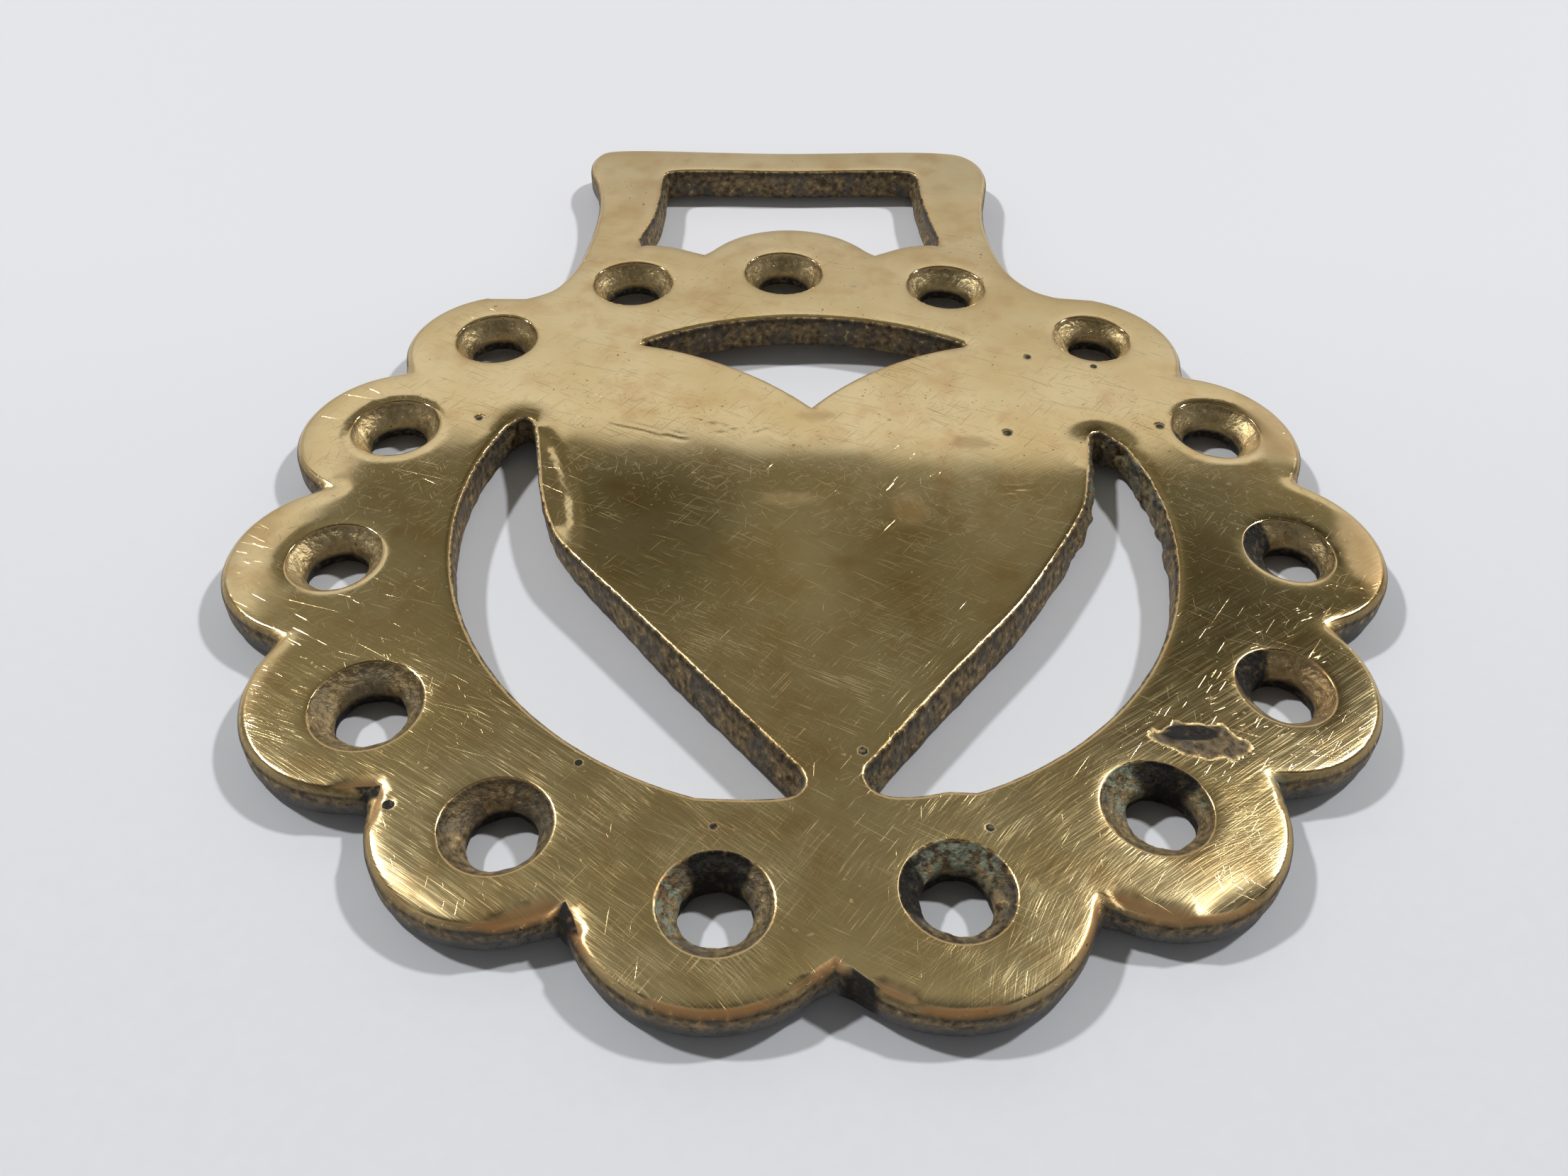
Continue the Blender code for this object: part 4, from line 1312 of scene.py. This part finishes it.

# %% [markdown]
# ## Residue, dirt and painted shade
#
# Metal polish dries to a pale grey-green crust where the cloth can't reach, mostly in the dished
# holes.  Dirt is nearly black: black in the pits, and small specks that lie about in groups.  Deep in
# the holes' bores the same black is a painted shade.  Real crumbs and specks are a tenth of a
# millimetre and could be scattered as small meshes.  Drawn as noise of 0.35 to 0.5 mm they show as
# well, and they cost nothing.

# %% Residue, dirt and painted shade
# the black is dirt in the pits and specks, and painted shade deep in the bores
OLD_POLISH, BLACK_DIRT_AND_SHADE = linear("#8C9480"), linear("#1B1712")
crumbs = node(tree, "MapRange", (cloud(0.5, 71.0, 4.0), 0.46, 0.56))
crust = node(tree, "Math", (stored["residue"], crumbs), operation="MULTIPLY")
colour = node(tree, "Mix", (crust, colour, OLD_POLISH), data_type="RGBA")
specks = node(tree, "MapRange", (cloud(0.35, 97.0, 1.0), 0.72, 0.77))
groups = node(tree, "MapRange", (cloud(5.0, 103.0, 2.0), 0.48, 0.58, 0.0, 0.7))
specks = node(tree, "Math", (specks, groups), operation="MULTIPLY")
# dirt in the pits and spots, with painted shade deep in the bores
dirt_and_shade = node(tree, "MapRange", (stored["dirt_and_shade"], 0.1, 0.5))
uneven = node(tree, "MapRange", (cloud(0.4, 83.0, 3.0), 0.3, 0.5, 0.7, 1.0))
dirt_and_shade = node(tree, "Math", (dirt_and_shade, uneven), operation="MULTIPLY")
dirt_and_shade = node(tree, "Math", (dirt_and_shade, specks), operation="MAXIMUM")
colour = node(tree, "Mix", (dirt_and_shade, colour, BLACK_DIRT_AND_SHADE), data_type="RGBA")
tree.links.new(colour, shader.inputs["Base Color"])
print("colour done after", len(tree.nodes), "nodes")

# %% [markdown]
# ## How polished it is
#
# Polished brass starts at a roughness of about 0.07.  Towards the lower rim, where the brass is
# handled and rubbed, hairlines too fine to draw one by one leave a satin haze of 0.2.  Drawn hairlines
# and scratches are a little rougher still, because a scratch spreads the light that falls on it.  One
# even roughness would be simpler, but then the whole face would light up or go dark at once.

# %% Satin haze and hairlines
rubbed_low = node(tree, "MapRange", (height, -6.0, -36.0))
less_at_sides = node(tree, "MapRange", (sideways, 31.0, 16.0, 0.6, 1.0))
satin = node(tree, "Math", (rubbed_low, less_at_sides), operation="MULTIPLY")
haze = node(tree, "MapRange", (satin, 0.0, 1.0, 0.065, 0.2))
to_left = node(tree, "MapRange", (across, 6.0, -4.0))
to_right = node(tree, "MapRange", (across, -4.0, 6.0))
stray = node(tree, "MapRange", (cloud(3.0, 91.0), 0.5, 0.65))
central = node(tree, "MapRange", (sideways, 19.0, 13.0))
stray = node(tree, "Math", (stray, central), operation="MULTIPLY")
hairlines = 0.0
for hairs, place in ((streaks(3.5, 0.07, -37.0, 0.46, 0.72, 57.0), to_left),
                     (streaks(3.5, 0.07, 33.0, 0.46, 0.72, 19.0), to_right),
                     (streaks(1.8, 0.07, 62.0, 0.5, 0.74, 39.0), stray)):
    placed_hairs = node(tree, "Math", (hairs, place), operation="MULTIPLY")
    hairlines = node(tree, "Math", (placed_hairs, hairlines), operation="MAXIMUM")
with_haze = node(tree, "MapRange", (satin, 0.0, 0.5, 0.15, 1.0))
hairlines = node(tree, "Math", (hairlines, with_haze), operation="MULTIPLY")
rough = node(tree, "Math", (hairlines, 0.09, haze), operation="MULTIPLY_ADD")
print("roughness from 0.065 to 0.29 so far")

# %% Scratches, rims and bowls
line_rough = node(tree, "MapRange", (sideways, 31.0, 16.0, 0.11, 0.2))
less_right = node(tree, "MapRange", (across, 18.0, 22.0, 1.0, 0.35))
line_rough = node(tree, "Math", (line_rough, less_right), operation="MULTIPLY")
rough = node(tree, "Math", (lines, line_rough, rough), operation="MULTIPLY_ADD")
# the cloth passes over the strip just past a rim, and the bowls of the holes were never buffed
past = node(tree, "MapRange", (stored["depth"], 0.0, 0.05))
past_rim = node(tree, "Math", (stored["rim"], past), operation="MULTIPLY")
rim_dull = node(tree, "MapRange", (cloud(5.0, 29.0, 2.0), 0.35, 0.6, 0.15, 0.4))
rim_dull = node(tree, "Math", (past_rim, rim_dull), operation="MULTIPLY")
bowl = node(tree, "MapRange", (stored["depth"], 0.1, 0.4, 0.0, 0.22))
unpolished = node(tree, "Math", (rim_dull, bowl), operation="MAXIMUM")
rough = node(tree, "Math", (rough, unpolished), operation="ADD")
# tarnish, skin, and dirt with the painted shade in the bores are matt in their own way
dull = node(tree, "Math", (skin_share, crust), operation="MAXIMUM")
skin_rough = node(tree, "MapRange", (skin_noise, 0.3, 0.7, 0.5, 0.75))
for share, roughness in ((stored["warm"], 0.45), (dull, skin_rough), (dirt_and_shade, 0.8)):
    rough = node(tree, "Mix", (share, rough, roughness))
tree.links.new(rough, shader.inputs["Roughness"])
print("roughness up to 0.8 in dirt")

# %% [markdown]
# ## Metal or not, and the fine relief
#
# Oxide, old polish and dirt aren't metal, and the painted shade in the bores isn't either, so where they
# lie thick the surface stops being a mirror.
# Scratches are cut in a few thousandths of a millimetre, and the skin stands up in grains.  Both are
# too small for the mesh, so they are a bump in the material.

# %% Metallic
skin_cover = node(tree, "Math", (dull, dull), operation="MULTIPLY")
skin_cover = node(tree, "Math", (skin_cover, 0.6), operation="MULTIPLY")
warm_cover = node(tree, "Math", (stored["warm"], 0.5), operation="MULTIPLY")
dirt_and_shade_cover = node(tree, "Math", (dirt_and_shade, dirt_and_shade), operation="MULTIPLY")
cover = crust
for other in (skin_cover, warm_cover, dirt_and_shade_cover):
    cover = node(tree, "Math", (cover, other), operation="MAXIMUM")
metallic = node(tree, "MapRange", (cover, 0.0, 1.0, 1.0, 0.1))
tree.links.new(metallic, shader.inputs["Metallic"])
print("metallic 1 on bare brass, 0.1 under old polish and dirt")

# %% Relief of scratches and skin
SCRATCH_DEPTH, SKIN_DEPTH = 0.006, 0.28
cuts = node(tree, "Math", (hairlines, 0.25, lines), operation="MULTIPLY_ADD")
cuts = node(tree, "Bump", {"Height": cuts, "Distance": SCRATCH_DEPTH * MM}, invert=True)
grains = node(tree, "MapRange", (skin_noise, 0.0, 1.0, -0.5, 0.5))
grains = node(tree, "Math", (grains, skin_share), operation="MULTIPLY")
grains = node(tree, "Bump", {"Height": grains, "Distance": SKIN_DEPTH * MM, "Normal": cuts})
tree.links.new(grains, shader.inputs["Normal"])
print("material nodes:", len(tree.nodes))

# %% [markdown]
# ## The table
#
# The brass lies on a plain pale table top: smooth laminate, a matt plastic surface that was pressed
# flat.  It gives the eye a cool white with hardly any grain.  A painted light makes it a little brighter
# towards the far side, standing for light that falls off towards the near edge.
# A plain plane is enough; its grain is about a millimetre, far coarser than real laminate's, because
# anything finer wouldn't show.

# %% Table
HALF = 0.9                           # m
floor_mesh = bpy.data.meshes.new("table")
corners = [(-HALF, -HALF, 0), (HALF, -HALF, 0), (HALF, HALF, 0), (-HALF, HALF, 0)]
floor_mesh.from_pydata(corners, [], [(0, 1, 2, 3)])
floor = bpy.data.objects.new("table", floor_mesh)
bpy.context.collection.objects.link(floor)

# matt and nearly even: it shows the shadows crisply and no reflection of the brass
laminate = bpy.data.materials.new("pale_laminate")
laminate.use_nodes = True
tree = laminate.node_tree
shader = tree.nodes["Principled BSDF"]
shader.inputs["Roughness"].default_value = 0.75
place = node(tree, "TexCoord").node.outputs["Object"]
NEAR_DARK, NEAR_PALE, FAR_PAINTED_LIGHT = linear("#E2E6EE"), linear("#E7EAF1"), linear("#EFF1F8")
grain = node(tree, "TexNoise", (place, 0.9 / MM, 3.0))
tint = node(tree, "Mix", (grain, NEAR_DARK, NEAR_PALE), data_type="RGBA")
towards_back = node(tree, "SeparateXYZ", (place,)).node.outputs["Y"]
# painted light: the tint turns whiter towards the far side, for light that falls off towards the near
# edge
far = node(tree, "MapRange", (towards_back, -40.0 * MM, 30.0 * MM))
tint = node(tree, "Mix", (far, tint, FAR_PAINTED_LIGHT), data_type="RGBA")
tree.links.new(tint, shader.inputs["Base Color"])
floor_mesh.materials.append(laminate)
print("table:", 2 * HALF, "m square")

# %% [markdown]
# ## The lamps
#
# Two small lamps behind the brass, one to each side, throw two crisp shadows that cross below it.
# Area lamps could stand in their places, but they would grow darker with distance.  These are far
# away for their size, so suns do: their direction is all that counts.

# %% Lamps
LAMPS = {"right_lamp": (0.81, 0.56), "left_lamp": (-0.75, 0.53)}     # sideways and back, for 1 up
for name, (to_side, to_back) in LAMPS.items():
    lamp = bpy.data.lights.new(name, "SUN")
    lamp.energy = 1.5
    lamp.angle = math.radians(4.0)
    lamp.color = (1.0, 0.99, 0.97)
    lamp_object = bpy.data.objects.new(name, lamp)
    lamp_object.rotation_euler = Vector((to_side, to_back, 1.0)).to_track_quat("Z", "Y").to_euler()
    bpy.context.collection.objects.link(lamp_object)
    height_angle = math.degrees(math.atan2(1.0, math.hypot(to_side, to_back)))
    print(name, "stands", round(height_angle), "degrees high")

# %% [markdown]
# ## The room in the metal
#
# Polished metal shows its surroundings, so those matter as much as the lamps.  A wide bright card
# stands behind, low down, and everything above it is dim.  The far half of the face mirrors the card
# and looks light gold, the near half mirrors the dim ceiling and looks olive.  Real cards and walls
# could be built from planes, but a world with a few soft shapes in it is quicker to move about, and it
# stays out of the way of the table.  Its brightnesses are light and not surface colours, so they are
# plain numbers and not hex.

# %% The card
room = bpy.data.worlds.new("studio")
room.use_nodes = True
bpy.context.scene.world = room
tree = room.node_tree
way = node(tree, "TexCoord").node.outputs["Generated"]     # in a world this is the direction looked in
side, back, up = node(tree, "SeparateXYZ", (way,)).node.outputs
# a flat sheet behind: its top edge is a height over its distance, and leans a little
distance = node(tree, "Math", (back, 0.001), operation="MAXIMUM")
leaning = node(tree, "Math", (side, -0.1, up), operation="MULTIPLY_ADD")
slope = node(tree, "Math", (leaning, distance), operation="DIVIDE")
aside = node(tree, "Math", (side, distance), operation="DIVIDE")
# it stands higher far to the left and dips a little on the right
wing = node(tree, "MapRange", (aside, -0.38, -0.7, 0.0, 0.42))
dip = node(tree, "MapRange", (aside, 0.3, 0.52, 0.0, 0.075))
slope = node(tree, "Math", (slope, wing), operation="SUBTRACT")
slope = node(tree, "Math", (slope, dip), operation="ADD")
below_top = node(tree, "MapRange", (slope, 0.81, 0.792), interpolation_type="SMOOTHSTEP")
behind = node(tree, "MapRange", (back, 0.45, 0.6), interpolation_type="SMOOTHSTEP")
card = node(tree, "Math", (below_top, behind), operation="MULTIPLY")
CARD_FOOT, CARD_TOP = (0.57, 0.56, 0.56, 1.0), (0.95, 0.94, 0.95, 1.0)
towards_top = node(tree, "MapRange", (slope, 0.42, 0.8))
card_glow = node(tree, "Mix", (towards_top, CARD_FOOT, CARD_TOP), data_type="RGBA")
print("the card reaches", round(math.degrees(math.atan(0.8))), "degrees up")

# %% The dim ceiling and the dark near side
CEILING, NEAR_SIDE = (0.176, 0.170, 0.133, 1.0), (0.05, 0.048, 0.045, 1.0)
nearer = node(tree, "MapRange", (back, 0.38, 0.05), interpolation_type="SMOOTHSTEP")
ceiling = node(tree, "Mix", (nearer, CEILING, NEAR_SIDE), data_type="RGBA")
# direction, size in degrees, and how much darker (or, below 0, lighter) it makes the ceiling there
SHADES = (
    ((-0.075, 0.73, 0.675), 5.5, 0.4), ((0.135, 0.70, 0.70), 4.5, 0.35),
    ((0.07, 0.72, 0.69), 5.0, -0.35), ((0.06, 0.66, 0.75), 6.0, -0.25),
    ((0.2, 0.73, 0.655), 7.0, -0.35), ((0.40, 0.57, 0.72), 13.0, 0.68),
    ((0.49, 0.66, 0.57), 8.0, -0.7), ((0.08, 0.16, 0.98), 18.0, -1.2),
    ((-0.34, 0.59, 0.74), 10.0, -0.4),
)
for direction, size, darker in SHADES:
    toward = node(tree, "VectorMath", (way, Vector(direction).normalized()), operation="DOT_PRODUCT")
    edge_of, middle_of = math.cos(math.radians(size)), math.cos(math.radians(0.2 * size))
    shade = node(tree, "MapRange", (toward, edge_of, middle_of), interpolation_type="SMOOTHSTEP")
    dimmer = node(tree, "MapRange", (shade, 0.0, 1.0, 1.0, 1.0 - darker))
    ceiling = node(tree, "VectorMath", (ceiling, dimmer), operation="SCALE")
print(len(SHADES), "soft shades and glows overhead")

# %% Low light, and all together
# low light from the sides and the front fills the shadows and lights the corners that face the eye
LOW_LIGHT = (0.4, 0.395, 0.39, 1.0)
in_front = node(tree, "MapRange", (back, 0.4, 0.1), interpolation_type="SMOOTHSTEP")
low_down = node(tree, "MapRange", (up, 0.58, 0.4), interpolation_type="SMOOTHSTEP")
low_share = node(tree, "Math", (in_front, low_down), operation="MULTIPLY")
surroundings = node(tree, "Mix", (low_share, ceiling, LOW_LIGHT), data_type="RGBA")
surroundings = node(tree, "Mix", (card, surroundings, card_glow), data_type="RGBA")
tree.links.new(surroundings, tree.nodes["Background"].inputs["Color"])
print("room nodes:", len(tree.nodes))

# %% [markdown]
# ## The camera
#
# The brass is seen from close by, from in front and above, a little from the left.  A camera can be
# aimed by a constraint at the object's middle, but the roll and the exact framing matter here.  They
# were solved once from the even circle of the scallops, so the numbers are given as they came out:
# the eye in mm from the ring's middle, and three turns.

# %% Camera
LENS_IN_WIDTHS = 1923.05 / 2212      # focal length over the width of the frame
EYE = Vector((-5.785, -67.73, 62.2))
LOOK_DOWN, ROLL, YAW = (math.radians(angle) for angle in (44.244, 1.807, 3.490))
base = Matrix(((1, 0, 0), (0, -math.sin(LOOK_DOWN), -math.cos(LOOK_DOWN)),
               (0, math.cos(LOOK_DOWN), -math.sin(LOOK_DOWN))))
rightwards, down, ahead = Matrix.Rotation(ROLL, 3, "Z") @ base @ Matrix.Rotation(YAW, 3, "Z")
camera_data = bpy.data.cameras.new("camera")
camera_data.sensor_width = 36.0
camera_data.lens = LENS_IN_WIDTHS * camera_data.sensor_width
camera_data.clip_start = 0.001
camera = bpy.data.objects.new("camera", camera_data)
facing = Matrix((rightwards, -down, -ahead)).transposed().to_4x4()
camera.matrix_world = Matrix.Translation((EYE + Vector(ROW_SHIFT)) * MM) @ facing
bpy.context.collection.objects.link(camera)
bpy.context.scene.camera = camera
bpy.context.scene.view_settings.view_transform = "Standard"
print("lens:", round(camera_data.lens, 1), "mm on a 36 mm frame")
